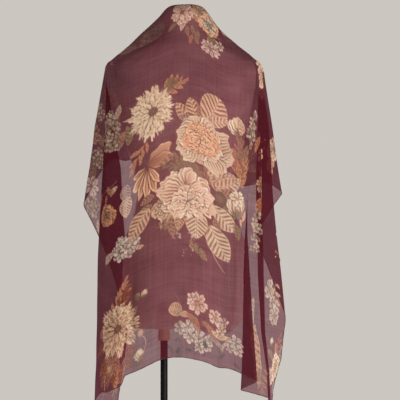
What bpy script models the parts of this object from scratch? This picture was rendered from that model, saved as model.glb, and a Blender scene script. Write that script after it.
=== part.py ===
"""Square chiffon scarf draped over the neck and shoulders of a limbless dress
form that stands on a single post and a round base.

Metres, +Z up.  The origin is the centre of the base's underside, on the axis
of the post.  The back of the form faces -Y, its chest faces +Y, and +X is to
the right of somebody who looks at its back.
"""
import math

import bmesh
import bpy
import numpy as np
from mathutils.kdtree import KDTree

# --------------------------------------------------------------------------
# Driving dimensions
# --------------------------------------------------------------------------
FORM_X = 0.0507          # the form's middle stands this far off the post
WALL = 0.0011            # cloth wall
SEAM = 0.0003            # gap between neighbouring stretches of cloth
CLEAR = 0.007            # least distance of the cloth's middle from the form
LIFT = 0.006             # the same, measured upward on the shoulders

SCARF = 0.95             # side of the square
NECK_HALF = 0.045        # half width of the flat patch over the neck
NECK_COVER = 0.052       # half depth of that patch
TIP_FALL = 0.165         # distance from the upper hem to a shoulder tip
TIP_HALF = 0.015         # half depth of the ridge at a shoulder tip
RIDGE_SAG = 0.35         # roundness of the ridge across its depth
SHOULDER_HALF = 0.191    # half width where the hanging part stops spreading

BASE_RADIUS, BASE_HEIGHT, BASE_EDGE = 0.160, 0.012, 0.003
HUB_RADIUS, HUB_TOP = 0.0220, 0.050
POST_RADIUS, POST_TOP = 0.0090, 0.6340
FLANGE_RADIUS, FLANGE_TOP = 0.0147, 0.6637
GAP = 0.0003

# Form: one row for each level section.
# (height, half width, reach to the back, reach to the front, roundness)
FORM_SECTIONS = (
    (1.4490, 0.0395, 0.0385, 0.0395, 2.0),
    (1.4450, 0.0440, 0.0430, 0.0440, 2.0),
    (1.4250, 0.0470, 0.0475, 0.0465, 2.0),
    (1.3950, 0.0520, 0.0540, 0.0500, 2.0),
    (1.3780, 0.0660, 0.0590, 0.0530, 2.1),
    (1.3620, 0.0960, 0.0650, 0.0560, 2.2),
    (1.3420, 0.1370, 0.0700, 0.0590, 2.3),
    (1.3220, 0.1670, 0.0750, 0.0620, 2.4),
    (1.3000, 0.1770, 0.0820, 0.0680, 2.4),
    (1.2600, 0.1750, 0.0920, 0.0830, 2.4),
    (1.2100, 0.1660, 0.0960, 0.1030, 2.4),
    (1.1600, 0.1550, 0.0930, 0.1150, 2.4),
    (1.1150, 0.1440, 0.0870, 0.1130, 2.3),
    (1.0600, 0.1290, 0.0770, 0.0940, 2.2),
    (1.0000, 0.1160, 0.0730, 0.0860, 2.2),
    (0.9400, 0.1270, 0.0820, 0.0900, 2.2),
    (0.8800, 0.1480, 0.1000, 0.0950, 2.3),
    (0.8100, 0.1530, 0.1140, 0.0960, 2.3),
    (0.7500, 0.1530, 0.1110, 0.0940, 2.3),
    (0.7050, 0.1500, 0.1010, 0.0900, 2.3),
    (0.6800, 0.1440, 0.0920, 0.0840, 2.3),
    (0.6660, 0.1310, 0.0810, 0.0750, 2.3),
)
# Underside of the form: (across, height)
FORM_LOBES = ((-0.150, 0.672), (-0.120, 0.6625), (-0.080, 0.6640), (-0.028, 0.6640),
              (0.000, 0.6800), (0.020, 0.6780), (0.050, 0.6560), (0.080, 0.6480),
              (0.110, 0.6540), (0.150, 0.6800))

# Line of the scarf's ridge from the left shoulder tip over the neck to the
# right one, and of its lower back hem: (across, height)
RIDGE = ((-0.191, 1.3235), (-0.178, 1.3300), (-0.159, 1.3420), (-0.1335, 1.3640), (-0.109, 1.3895),
         (-0.0845, 1.4110), (-0.060, 1.4340), (-0.048, 1.4500), (-0.035, 1.4585),
         (-0.015, 1.4612), (0.015, 1.4612), (0.035, 1.4590), (0.050, 1.4520),
         (0.0625, 1.4320), (0.087, 1.4000), (0.1115, 1.3780), (0.136, 1.3575),
         (0.1654, 1.3350), (0.185, 1.3255))
BACK_HEM = ((-0.191, 0.5310), (-0.152, 0.5500), (-0.109, 0.5680), (-0.060, 0.5927),
            (-0.030, 0.5980), (0.000, 0.5988), (0.050, 0.5878), (0.087, 0.5706),
            (0.136, 0.5560), (0.185, 0.5478))
HEM_STEP = 0.020         # extra drop of the left end of the back hem

# How far the cloth hangs from the middle plane: (height, middle, sides)
BACK_FALL = ((0.450, 0.134, 0.126), (0.600, 0.132, 0.120), (0.820, 0.128, 0.106),
             (0.950, 0.121, 0.096), (1.100, 0.113, 0.080), (1.235, 0.106, 0.054),
             (1.340, 0.080, 0.016), (1.446, 0.052, 0.015), (1.470, 0.050, 0.015))
FRONT_FALL = ((0.900, 0.122, 0.078), (1.050, 0.126, 0.070), (1.120, 0.128, 0.060),
              (1.170, 0.124, 0.052), (1.230, 0.109, 0.040), (1.300, 0.085, 0.020),
              (1.380, 0.066, 0.015), (1.470, 0.050, 0.015))

# Folds that fan out from each shoulder tip.  A row for each fold: its angle
# on the flat cloth, measured at the tip from straight outward (0) to straight
# down the back (90); then, at each reach from the tip, how far the fold lies
# outward of the tip and how far forward of the middle plane, in millimetres.
LEFT_REACH = (0.000, 0.035, 0.080, 0.160, 0.250, 0.360, 0.450, 0.600, 0.700, 0.840)
LEFT_FOLDS = (
    dict(name="near fold", angle=83.0,
         outward=(0, 3.0, 2.2, 4.2, 10.5, 18.4, 22.8, 24.3, 25.7, 33.1),
         forward=(-13, -25, -45, -61, -72, -82, -88, -99, -105, -112)),
    dict(name="inner fold", angle=66.0,
         outward=(0, 5.0, -7.4, -19.6, -36.0, -41.0, -48.0, -49.0, -49.0, -48.0),
         forward=(-5, -13, -21, -20, -4, 22, 50, 62, 64, 62)),
    dict(name="wing fold", angle=42.0,
         outward=(0, 8.5, 17.2, 32.6, 44.6, 61.3, 65.0, 65.0, 65.0, 65.0),
         forward=(5, -1, 0, 10, 26, 50, 60, 60, 60, 60)),
    dict(name="front turn", angle=0.0,
         outward=(0, 5.0, 4.9, -2.5, -15.9, -18.4, -18.4, -18.4, -18.4, -18.4),
         forward=(12, 13, 16, 31, 49, 66, 70, 70, 70, 70)),
)
RIGHT_REACH = (0.000, 0.035, 0.080, 0.160, 0.250, 0.330, 0.430, 0.500, 0.630, 0.720, 0.785, 0.860)
RIGHT_FOLDS = (
    dict(name="pleat edge", angle=91.5,
         outward=(0, -2.5, -8.7, -14.8, -24.6, -30.7, -29.4, -24.5, -16.0, -8.6, -3.7, -1.3),
         forward=(-13, -29, -50, -72, -91, -104, -116, -122, -131, -134, -136, -137)),
    dict(name="pleat root", angle=88.0,
         outward=(0, -1.0, -6.0, -8.4, -18.5, -30.7, -40.5, -44.2, -46.7, -49.1, -52.3, -54.0),
         forward=(-11, -26, -46, -69, -86, -98, -107, -111, -117, -120, -122, -123)),
    dict(name="near fold", angle=64.2,
         outward=(0, 7.6, 12.2, 24.4, 30.5, 34.2, 42.8, 50.1, 63.6, 65.1, 41.6, 34.2),
         forward=(-2, -19, -34, -46, -54, -60, -64, -67, -70, -72, -74, -75)),
    dict(name="inner fold", angle=49.9,
         outward=(0, 5.0, -4.5, -8.0, -11.0, -11.0, -10.0, -9.0, -9.0, -13.0, -17.0, -19.0),
         forward=(4, -6, -18, -20, -14, -4, 10, 20, 24, 24, 24, 24)),
    dict(name="wing fold", angle=32.8,
         outward=(0, 12.0, 19.5, 31.8, 45.2, 58.7, 66.1, 68.5, 68.5, 68.5, 68.5, 68.5),
         forward=(9, 6, 4, 14, 30, 48, 60, 60, 60, 60, 60, 60)),
    dict(name="front turn", angle=0.0,
         outward=(0, 8.0, 4.8, 2.4, -2.5, -7.5, -9.9, -9.9, -9.9, -9.9, -9.9, -9.9),
         forward=(13, 14, 16, 32, 48, 60, 66, 66, 66, 66, 66, 66)),
)
# Drop of the cloth along a ray against its flat length: (angle, ratio)
LEFT_DROP = ((0, 0.92), (42, 1.012), (60, 1.037), (71, 1.047), (83, 1.078), (90, 1.043))
RIGHT_DROP = ((0, 1.115), (32.8, 1.018), (64.2, 1.003), (70.3, 1.03), (79, 1.066),
              (88, 1.052), (91.5, 1.024), (98, 1.009))
# Per side: the tip, the tip's place across the flat cloth, the flat angle of
# the ray where the back panel ends, the direction in which the ray straight
# outward hangs at the front (degrees below level, inward side), and the folds
SIDES = {
    -1: dict(tip_x=0.191, tip_z=1.3235, flat=0.210, start=90.0, hang=-80.0,
             reach=LEFT_REACH, folds=LEFT_FOLDS, drop=LEFT_DROP),
    +1: dict(tip_x=0.185, tip_z=1.3255, flat=0.200, start=98.0, hang=-84.0,
             reach=RIGHT_REACH, folds=RIGHT_FOLDS, drop=RIGHT_DROP),
}
FOLD_ROUNDING = 0.008    # half width of the rounding of a fold
WAVE_DEPTH = 0.006       # soft waves of the lower back
SIDE_EDGE = SCARF / 2


# --------------------------------------------------------------------------
# Small helpers
# --------------------------------------------------------------------------
def column(table, index):
    return [row[index] for row in table]


def read(table, at, index=1):
    """Value of a table's column at a given first-column value."""
    return np.interp(at, column(table, 0), column(table, index))


def read_soft(table, at, reach=0.008):
    """The same, averaged over a short distance so that corners are rounded."""
    steps = (-1.0, -0.5, 0.0, 0.5, 1.0)
    return sum(w * read(table, at + s * reach) for s, w in zip(steps, (1, 2, 2, 2, 1))) / 8


def smooth_max(a, b, blend=0.004):
    return 0.5 * (a + b + np.sqrt((a - b) ** 2 + blend * blend))


def ease(t):
    t = np.clip(t, 0, 1)
    return t * t * (3 - 2 * t)


def settle(t):
    """0 to 1, quick at first."""
    t = np.clip(t, 0, 1)
    return t * (2 - t)


# --------------------------------------------------------------------------
# The form's surface
# --------------------------------------------------------------------------
def form_reach(x, z, front):
    """Distance of the form's skin from the middle plane at (x, z)."""
    rows = FORM_SECTIONS[::-1]
    half = np.interp(z, column(rows, 0), column(rows, 1))
    deep = np.interp(z, column(rows, 0), column(rows, 3 if front else 2))
    power = np.interp(z, column(rows, 0), column(rows, 4))
    return deep * np.clip(1 - (np.abs(x) / half) ** power, 0, 1) ** (1 / power)


# --------------------------------------------------------------------------
# The scarf's middle surface.  u runs across the flat square from its middle,
# v runs down from the upper hem.
# --------------------------------------------------------------------------
def ridge_measures(u):
    """Half depth of the ridge, and its distance from the upper hem."""
    flat = np.where(u < 0, SIDES[-1]["flat"], SIDES[1]["flat"])
    t = np.clip((np.abs(u) - NECK_HALF) / (flat - NECK_HALF), 0, 1)
    return (NECK_COVER + (TIP_HALF - NECK_COVER) * t,
            NECK_COVER + (TIP_FALL - NECK_COVER) * t)


def across(u):
    return np.where(u < 0, u * SIDES[-1]["tip_x"] / SIDES[-1]["flat"],
                    u * SIDES[1]["tip_x"] / SIDES[1]["flat"])


def hang(x, z, half, below, front):
    """Distance from the middle plane of cloth that hangs from the ridge."""
    table = FRONT_FALL if front else BACK_FALL
    q = np.clip(np.abs(x) / SHOULDER_HALF, 0, 1) ** 2.4
    free = read(table, z, 1) * (1 - q) + read(table, z, 2) * q
    y = half + (free - half) * settle(below / 0.12)
    skin = np.maximum(form_reach(x, z, front), form_reach(x, z - LIFT, front))
    return y + (smooth_max(y, skin + CLEAR) - y) * np.clip(below / 0.012, 0, 1)


def back_panel(u, v):
    half, line = ridge_measures(u)
    x = across(u)
    top = read_soft(RIDGE, x) - RIDGE_SAG * half
    s = np.clip((v - line - half) / (SCARF - line - half), 0, 1)
    z = top + (read_soft(BACK_HEM, x, 0.010) - top) * s
    z = z - HEM_STEP * ease((-0.1465 - x) / 0.006) * s ** 10
    y = -hang(x, z, half, top - z, False)
    depth = WAVE_DEPTH * ease((1.05 - z) / 0.45) * np.clip((0.21 - np.abs(u)) / 0.05, 0, 1)
    y = y - depth * (1.5 + np.sin(2 * np.pi * u / 0.105 + 0.6) + 0.5 * np.sin(2 * np.pi * u / 0.061 + 2.0))
    return x, y, z


def ridge_strip(u, v):
    half, line = ridge_measures(u)
    x = across(u)
    t = np.clip((v - line) / half, -1, 1)
    flat = np.where(u < 0, SIDES[-1]["flat"], SIDES[1]["flat"])
    end = ease(1 - (flat - np.abs(u)) / 0.030)
    round_ = np.abs(t) ** 4
    return x, -half * t, read_soft(RIDGE, x) - RIDGE_SAG * half * (round_ + (1 - round_) * end)


def front_panel(side, reach, angle):
    """Cloth in front of the shoulder, at a reach and flat angle from the tip."""
    d = SIDES[side]
    neck_x = NECK_HALF / d["flat"] * d["tip_x"]
    neck_z = read(RIDGE, side * neck_x) - RIDGE_SAG * NECK_COVER
    tip_z = d["tip_z"] - RIDGE_SAG * TIP_HALF
    slope = math.degrees(math.atan2(neck_z - tip_z, d["tip_x"] - neck_x))
    first = -math.degrees(math.atan2(TIP_FALL - TIP_HALF, -(d["flat"] - NECK_HALF)))
    share = (angle - first) / (0 - first)
    ridge_drop = (math.hypot(d["tip_x"] - neck_x, neck_z - tip_z)
                  / math.hypot(d["flat"] - NECK_HALF, TIP_FALL - TIP_HALF))
    length = reach * (ridge_drop + (read(d["drop"], 0) - ridge_drop) * share)
    turn = np.radians(slope + (d["hang"] - slope) * share)
    x = d["tip_x"] - length * np.cos(turn)
    z = tip_z + length * np.sin(turn)
    # the upper edge keeps to the ridge
    t = np.clip((d["tip_x"] - x) / (d["tip_x"] - neck_x), 0, 1)
    half = TIP_HALF + (NECK_COVER - TIP_HALF) * t
    straight = tip_z + (neck_z - tip_z) * t
    edge = read_soft(RIDGE, side * np.clip(x, 0, None)) - RIDGE_SAG * half
    below = np.maximum(straight - z, 0)
    z = z + (edge - straight) * np.clip(1 - below / 0.06, 0, 1)
    return side * x, hang(x, z, half, below, True), z


def fold_fan(side, reach, angle):
    """Cloth beside and behind the shoulder: walk along the row of folds."""
    d = SIDES[side]
    tip_z = d["tip_z"] - RIDGE_SAG * TIP_HALF
    lean = math.radians(d["start"] - 90)
    start = back_panel(side * (d["flat"] - reach * math.sin(lean)),
                       TIP_FALL + TIP_HALF + reach * math.cos(lean))
    stops = [d["start"]] + [f["angle"] for f in d["folds"]]
    xs = [np.abs(start[0])] + [d["tip_x"] + np.interp(reach, d["reach"], f["outward"]) / 1000 for f in d["folds"]]
    ys = [start[1]] + [np.interp(reach, d["reach"], f["forward"]) / 1000 for f in d["folds"]]
    rounding = np.minimum(np.degrees(FOLD_ROUNDING / np.maximum(reach, 0.02)), 2.0)
    rounding = np.clip(np.minimum(rounding, np.minimum(angle, d["start"] - angle)), 0, None)
    x = np.zeros_like(reach)
    y = np.zeros_like(reach)
    steps = ((-1, 1), (-0.66, 2), (-0.33, 3), (0, 3), (0.33, 3), (0.66, 2), (1, 1))
    for offset, weight in steps:
        at = np.clip(angle + offset * rounding, 0, d["start"])
        for k in range(len(stops) - 1):
            here = (at <= stops[k]) & (at >= stops[k + 1])
            t = (stops[k] - at) / (stops[k] - stops[k + 1])
            x = x + np.where(here, weight * (xs[k] + (xs[k + 1] - xs[k]) * t), 0) / 15
            y = y + np.where(here, weight * (ys[k] + (ys[k + 1] - ys[k]) * t), 0) / 15
    return x, y, start, stops[1], tip_z


def side_panel(side, u, v):
    d = SIDES[side]
    out = np.maximum(np.abs(u) - d["flat"], 1e-9) if d["start"] <= 90 else np.abs(u) - d["flat"]
    down = v - TIP_FALL
    down = down - np.clip(down, -TIP_HALF, TIP_HALF)
    reach = np.hypot(out, down) + 1e-9
    angle = np.degrees(np.arctan2(down, out))
    x, y, start, first, tip_z = fold_fan(side, reach, np.clip(angle, 0, d["start"]))
    length = reach * read(d["drop"], angle)
    cone = tip_z - np.sqrt(np.maximum(length ** 2 - (x - d["tip_x"]) ** 2 - (y + TIP_HALF) ** 2,
                                      (0.5 * length) ** 2))
    k = ease((d["start"] - angle) / (d["start"] - first))
    z = start[2] * (1 - k) + cone * k
    front = front_panel(side, reach, np.minimum(angle, 0))
    t = np.clip((TIP_HALF - (v - TIP_FALL)) / (2 * TIP_HALF), 0, 1)
    return [a * (1 - t) + b * t for a, b in zip((side * x, y, z), front)]


def scarf(u, v):
    """Middle surface of the draped scarf for flat coordinates u, v."""
    u, v = np.broadcast_arrays(np.asarray(u, float), np.asarray(v, float))
    half, line = ridge_measures(u)
    out = [np.zeros(u.shape) for _ in range(3)]

    def put(where, points):
        for target, value in zip(out, points):
            target[where] = value

    for side in (-1, 1):
        d = SIDES[side]
        mine = (u < 0) if side < 0 else (u >= 0)
        lean = math.tan(math.radians(d["start"] - 90))
        past = (np.abs(u) > d["flat"]) | (
            (v > TIP_FALL + TIP_HALF) & (np.abs(u) > d["flat"] - (v - TIP_FALL - TIP_HALF) * lean))
        where = mine & past
        if where.any():
            put(where, side_panel(side, u[where], v[where]))
        where = mine & ~past & (v >= line + half)
        if where.any():
            put(where, back_panel(u[where], v[where]))
        where = mine & ~past & (v < line + half) & ((v > line - half) | (np.abs(u) <= NECK_HALF))
        if where.any():
            put(where, ridge_strip(u[where], v[where]))
        where = mine & ~past & (v <= line - half) & (np.abs(u) > NECK_HALF)
        if where.any():
            out_ = np.abs(u[where]) - d["flat"]
            down = v[where] - (TIP_FALL - TIP_HALF)
            put(where, front_panel(side, np.hypot(out_, down) + 1e-9, np.degrees(np.arctan2(down, out_))))
    return np.stack(out, -1)


# ---- solids ----
# --------------------------------------------------------------------------
# Solids
# --------------------------------------------------------------------------
def material(name, colour, roughness, metallic=0.0):
    m = bpy.data.materials.new(name)
    m.use_nodes = True
    shader = m.node_tree.nodes["Principled BSDF"]
    shader.inputs["Base Color"].default_value = (*colour, 1.0)
    shader.inputs["Roughness"].default_value = roughness
    shader.inputs["Metallic"].default_value = metallic
    return m


def add(name, bm, mat, smooth_angle=None):
    bmesh.ops.recalc_face_normals(bm, faces=bm.faces)
    mesh = bpy.data.meshes.new(name)
    bm.to_mesh(mesh)
    bm.free()
    mesh.materials.append(mat)
    if smooth_angle:
        mesh.shade_smooth()
        mesh.set_sharp_from_angle(angle=math.radians(smooth_angle))
    obj = bpy.data.objects.new(name, mesh)
    bpy.context.scene.collection.objects.link(obj)
    return obj


def turned_over(u, v):
    """Whether a grid's rows and columns run the other way round on the flat."""
    du, dv = np.diff(u[:, :-1], axis=0), np.diff(v[:, :-1], axis=0)
    eu, ev = np.diff(u[:-1], axis=1), np.diff(v[:-1], axis=1)
    return bool((du * ev - dv * eu).sum() > 0)


def grid_triangles(points, over):
    """Two triangles for each cell of a grid, split along the shorter diagonal."""
    rows, cols = points.shape[:2]
    out = []
    for i in range(rows - 1):
        for j in range(cols - 1):
            a, b, c, d = i * cols + j, i * cols + j + 1, (i + 1) * cols + j + 1, (i + 1) * cols + j
            if np.sum((points[i, j] - points[i + 1, j + 1]) ** 2) <= np.sum((points[i, j + 1] - points[i + 1, j]) ** 2):
                out += [(a, b, c), (a, c, d)]
            else:
                out += [(a, b, d), (b, c, d)]
    return np.array(out)[:, ::-1] if over else np.array(out)


def one_cloth(grids):
    """The whole cloth as one net: its points, its triangles, and the number of
    the stretch that each triangle belongs to."""
    points, tris, owners, count = [], [], [], 0
    for u, v, owner in grids:
        g = scarf(u, v)
        t = grid_triangles(g, turned_over(u, v))
        points.append(g.reshape(-1, 3))
        tris.append(t + count)
        owners.append(np.repeat(owner.reshape(-1), 2))
        count += u.size
    points, tris, owners = np.concatenate(points), np.concatenate(tris), np.concatenate(owners)
    tree = KDTree(len(points))
    for k, p in enumerate(points):
        tree.insert(p, k)
    tree.balance()
    same = np.array([min(found[1] for found in tree.find_range(p, 0.0001)) for p in points])
    tris = same[tris]
    whole = (tris[:, 0] != tris[:, 1]) & (tris[:, 1] != tris[:, 2]) & (tris[:, 2] != tris[:, 0])
    return points, tris[whole], owners[whole]


def unit(a):
    return a / np.maximum(np.linalg.norm(a, axis=-1, keepdims=True), 1e-12)


def net_normals(points, tris):
    """Direction square to the cloth at each point."""
    face = unit(np.cross(points[tris[:, 1]] - points[tris[:, 0]], points[tris[:, 2]] - points[tris[:, 0]]))
    total = np.zeros(points.shape)
    for k in range(3):
        p, q, r = (points[tris[:, (k + s) % 3]] for s in (0, 1, 2))
        corner = np.arccos(np.clip((unit(q - p) * unit(r - p)).sum(1), -1, 1))
        np.add.at(total, tris[:, k], face * corner[:, None])
    return unit(total)


def cloth_wall(name, points, tris, normals, seam_points, mat):
    """One stretch of cloth as a closed wall, drawn in from its seams."""
    edges = {}
    for a, b, c in tris:
        for p, q, r in ((a, b, c), (b, c, a), (c, a, b)):
            edges[(p, q)] = r
    rim = [(p, q, r) for (p, q), r in edges.items() if (q, p) not in edges]
    inward = np.zeros(points.shape)
    for p, q, r in rim:
        if p in seam_points and q in seam_points:
            side = points[r] - points[p]
            along = unit(points[q] - points[p])
            side = unit(side - along * side.dot(along))
            inward[p] += side
            inward[q] += side
    points = points + unit(inward) * (np.linalg.norm(inward, axis=1, keepdims=True) > 1e-6) * SEAM / 2
    used = np.unique(tris)
    number = {int(k): n for n, k in enumerate(used)}
    middle = points[used] + (FORM_X, 0, 0)
    offset = normals[used] * WALL / 2
    count = len(used)
    bm = bmesh.new()
    verts = [bm.verts.new(p) for p in np.concatenate([middle + offset, middle - offset])]
    for tri in tris:
        a, b, c = (number[int(k)] for k in tri)
        bm.faces.new((verts[a], verts[b], verts[c]))
        bm.faces.new((verts[c + count], verts[b + count], verts[a + count]))
    for p, q, _ in rim:
        a, b = number[int(p)], number[int(q)]
        bm.faces.new((verts[b], verts[a], verts[a + count], verts[b + count]))
    bmesh.ops.triangulate(bm, faces=bm.faces)
    return add(name, bm, mat, 50)


# Shares of a ray's length at which the cloth has a row of points
RAYS = (0, 0.016, 0.04, 0.09, 0.15, 0.22, 0.30, 0.38, 0.46, 0.54, 0.62, 0.70, 0.78, 0.86, 0.93, 1.0)
TIP_START = 0.004        # the rays start this far from the tip
SEAM_COLUMNS = 4         # columns of the back panel that go with the side folds
STRETCHES = ("scarf_back", "scarf_side_left", "scarf_side_right", "scarf_front_left", "scarf_front_right")
BACK, SIDE_LEFT, SIDE_RIGHT, FRONT_LEFT, FRONT_RIGHT = range(5)


def ray_end(side, angle):
    """Flat distance from the tip to the hems along a ray."""
    c, s = math.cos(math.radians(angle)), math.sin(math.radians(angle))
    wide = SIDE_EDGE - SIDES[side]["flat"]
    high = (SCARF - TIP_FALL - TIP_HALF) if s > 0 else (TIP_FALL - TIP_HALF)
    return min(wide / c if c > 1e-6 else 9, high / abs(s) if abs(s) > 1e-6 else 9)


def fan(side, angles, apex):
    """Flat coordinates along rays from a shoulder tip out to the hems."""
    t = np.array(RAYS)[:, None]
    a = np.radians(np.array(angles))[None, :]
    end = np.array([ray_end(side, angle) for angle in angles])[None, :]
    reach = TIP_START + (end - TIP_START) * t
    return side * (SIDES[side]["flat"] + reach * np.cos(a)), apex + reach * np.sin(a)


def front_first():
    """Flat angle of the ray that runs from a tip to the patch over the neck."""
    return {side: -math.degrees(math.atan2(TIP_FALL - TIP_HALF, -(SIDES[side]["flat"] - NECK_HALF)))
            for side in SIDES}


def back_grid():
    """Back panel with the patch over the neck and the ridge to both tips."""
    first = front_first()
    tops = {}
    for side in SIDES:
        end = ray_end(side, first[side])
        part = (TIP_START + (end - TIP_START) * np.array(RAYS)) / end
        tops[side] = side * (SIDES[side]["flat"] - (SIDES[side]["flat"] - NECK_HALF) * part)
    top = np.concatenate([tops[-1], (-0.030, -0.015, 0.0, 0.015, 0.030), tops[1][::-1]])
    half, line = ridge_measures(top)
    us = [top] * 7
    vs = [line + t * half for t in (-1, -0.8, -0.4, 0, 0.4, 0.8, 1)]
    share = (top - top[0]) / (top[-1] - top[0])
    # the outermost columns lie on the rays where the side folds begin
    top = np.concatenate([[-SIDES[-1]["flat"]], top[1:-1], [SIDES[1]["flat"]]])
    half, line = ridge_measures(top)
    for t in RAYS:
        reach, lean = [], []
        for side in (-1, 1):
            end = ray_end(side, SIDES[side]["start"])
            r = TIP_START + (end - TIP_START) * t
            a = math.radians(SIDES[side]["start"])
            reach.append(r * math.sin(a) / (SCARF - TIP_FALL - TIP_HALF))
            lean.append(r * math.cos(a))
        s = reach[0] + (reach[1] - reach[0]) * share
        us.append(top - lean[0] * (1 - share) + lean[1] * share)
        vs.append(line + half + s * (SCARF - line - half))
    owner = np.full((len(us) - 1, len(top) - 1), BACK)
    owner[6:, :SEAM_COLUMNS] = SIDE_LEFT
    owner[6:, -SEAM_COLUMNS:] = SIDE_RIGHT
    return np.array(us), np.array(vs), owner


def side_grid(side):
    """Folds beside and behind one shoulder, and the turn to the front."""
    d = SIDES[side]
    corner = math.degrees(math.atan2(SCARF - TIP_FALL - TIP_HALF, SIDE_EDGE - d["flat"]))
    stops = [d["start"]]
    bends = [f["angle"] for f in d["folds"]]
    for before, bend, after in zip([2 * d["start"] - bends[0]] + bends, bends[:-1], bends[1:]):
        close = min(1.0, (before - bend) / 5, (bend - after) / 5)
        stops += [bend + e * close for e in (1.9, 0.7, -0.7, -1.9)]
    stops += [0.0]
    angles = [stops[0]]
    for a, b in zip(stops, stops[1:]):
        n = max(1, int(round((a - b) / 7.5)))
        angles += [a + (b - a) * k / n for k in range(1, n + 1)]
    near = min(range(len(angles)), key=lambda k: abs(angles[k] - corner))
    angles[near] = corner
    u, v = fan(side, angles, TIP_FALL + TIP_HALF)
    last_u, last_v = u[:, -1:], v[:, -1:]
    u = np.concatenate([u, last_u, last_u], 1)
    v = np.concatenate([v, last_v - TIP_HALF, last_v - 2 * TIP_HALF], 1)
    owner = np.full((u.shape[0] - 1, u.shape[1] - 1), SIDE_LEFT if side < 0 else SIDE_RIGHT)
    owner[:, -1] = FRONT_LEFT if side < 0 else FRONT_RIGHT
    return u, v, owner


def front_grid(side):
    """Front panel from the ridge over the chest to its hems."""
    first = front_first()[side]
    corner = -math.degrees(math.atan2(TIP_FALL - TIP_HALF, SIDE_EDGE - SIDES[side]["flat"]))
    angles = []
    for a, b, n in ((first, -90.0, 5), (-90.0, corner, 4), (corner, 0.0, 3)):
        angles += [a + (b - a) * k / n for k in range(n)]
    u, v = fan(side, angles + [0.0], TIP_FALL - TIP_HALF)
    return u, v, np.full((u.shape[0] - 1, u.shape[1] - 1), FRONT_LEFT if side < 0 else FRONT_RIGHT)


def scarf_solids():
    points, tris, owners = one_cloth([back_grid(), side_grid(-1), side_grid(1), front_grid(-1), front_grid(1)])
    normals = net_normals(points, tris)
    for number, name in enumerate(STRETCHES):
        mine, others = tris[owners == number], tris[owners != number]
        seam_points = set(mine.reshape(-1).tolist()) & set(others.reshape(-1).tolist())
        cloth_wall(name, points, mine, normals, seam_points, material(name + "_cloth", (0.16, 0.02, 0.04), 0.8))


def form_solid(mat):
    """Torso lofted through level sections, closed by the lobes underneath."""
    around = 56
    bm = bmesh.new()

    def ring(height, half, back, front, power, scale=1.0):
        out = []
        for k in range(around):
            a = 2 * math.pi * k / around
            c, s = math.cos(a), math.sin(a)
            x = math.copysign(abs(c) ** (2 / power), c) * half * scale
            y = math.copysign(abs(s) ** (2 / power), s) * (front if s > 0 else back) * scale
            lower = min(max((0.72 - height) / 0.056, 0.0), 1.0)
            z = height + (float(read(FORM_LOBES, x)) - 0.6640) * lower
            out.append(bm.verts.new((x + FORM_X, y, z)))
        return out

    rings = [ring(*row) for row in FORM_SECTIONS]
    bottom = FORM_SECTIONS[-1][1:]
    rings += [ring(0.6640, *bottom, scale=s) for s in (0.93, 0.80, 0.64, 0.48, 0.32, 0.16)]
    for upper, lower in zip(rings, rings[1:]):
        for k in range(around):
            j = (k + 1) % around
            bm.faces.new((upper[k], lower[k], lower[j], upper[j]))
    bm.faces.new(rings[0])
    centre = bm.verts.new((FORM_X, 0, float(read(FORM_LOBES, 0.0))))
    for k in range(around):
        bm.faces.new((rings[-1][(k + 1) % around], rings[-1][k], centre))
    bmesh.ops.triangulate(bm, faces=bm.faces)
    return add("form_torso", bm, mat, 45)


def turned(name, radius, low, high, mat, edge=0.0, top_radius=None, segments=64):
    """A round piece about the post's axis, its upper rim bevelled."""
    bm = bmesh.new()
    bmesh.ops.create_cone(bm, cap_ends=True, segments=segments, radius1=radius,
                          radius2=radius if top_radius is None else top_radius, depth=high - low)
    bmesh.ops.translate(bm, verts=bm.verts, vec=(0, 0, (low + high) / 2))
    if edge:
        rim = [e for e in bm.edges if all(abs(v.co.z - high) < 1e-6 for v in e.verts)]
        bmesh.ops.bevel(bm, geom=rim, offset=edge, segments=3, affect="EDGES", profile=0.5)
    return add(name, bm, mat, 35)


def main():
    for obj in list(bpy.data.objects):
        bpy.data.objects.remove(obj, do_unlink=True)
    form = material("form_skin", (0.60, 0.37, 0.24), 0.72)
    flange = material("flange_skin", (0.58, 0.36, 0.24), 0.65)
    post = material("post_paint", (0.012, 0.011, 0.012), 0.38)
    base = material("base_paint", (0.015, 0.014, 0.015), 0.45)
    hub = material("hub_paint", (0.014, 0.013, 0.014), 0.40)
    form_solid(form)
    turned("form_flange", FLANGE_RADIUS, POST_TOP, FLANGE_TOP, flange, 0.001, segments=40)
    turned("post", POST_RADIUS, HUB_TOP + GAP, POST_TOP - GAP, post, segments=32)
    turned("base_hub", HUB_RADIUS, BASE_HEIGHT + GAP, HUB_TOP, hub, 0.002, top_radius=0.0135, segments=48)
    turned("base_plate", BASE_RADIUS, 0.0, BASE_HEIGHT, base, BASE_EDGE, segments=80)
    scarf_solids()


main()
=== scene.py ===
"""Looks of the chiffon scarf on its dress form: a sheer, printed square that
hangs over the neck and shoulders of a smooth half-body form on a black post.
The frame (sizes, places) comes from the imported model; everything here is made
by functions of the scarf's flat coordinates."""
import math

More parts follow.
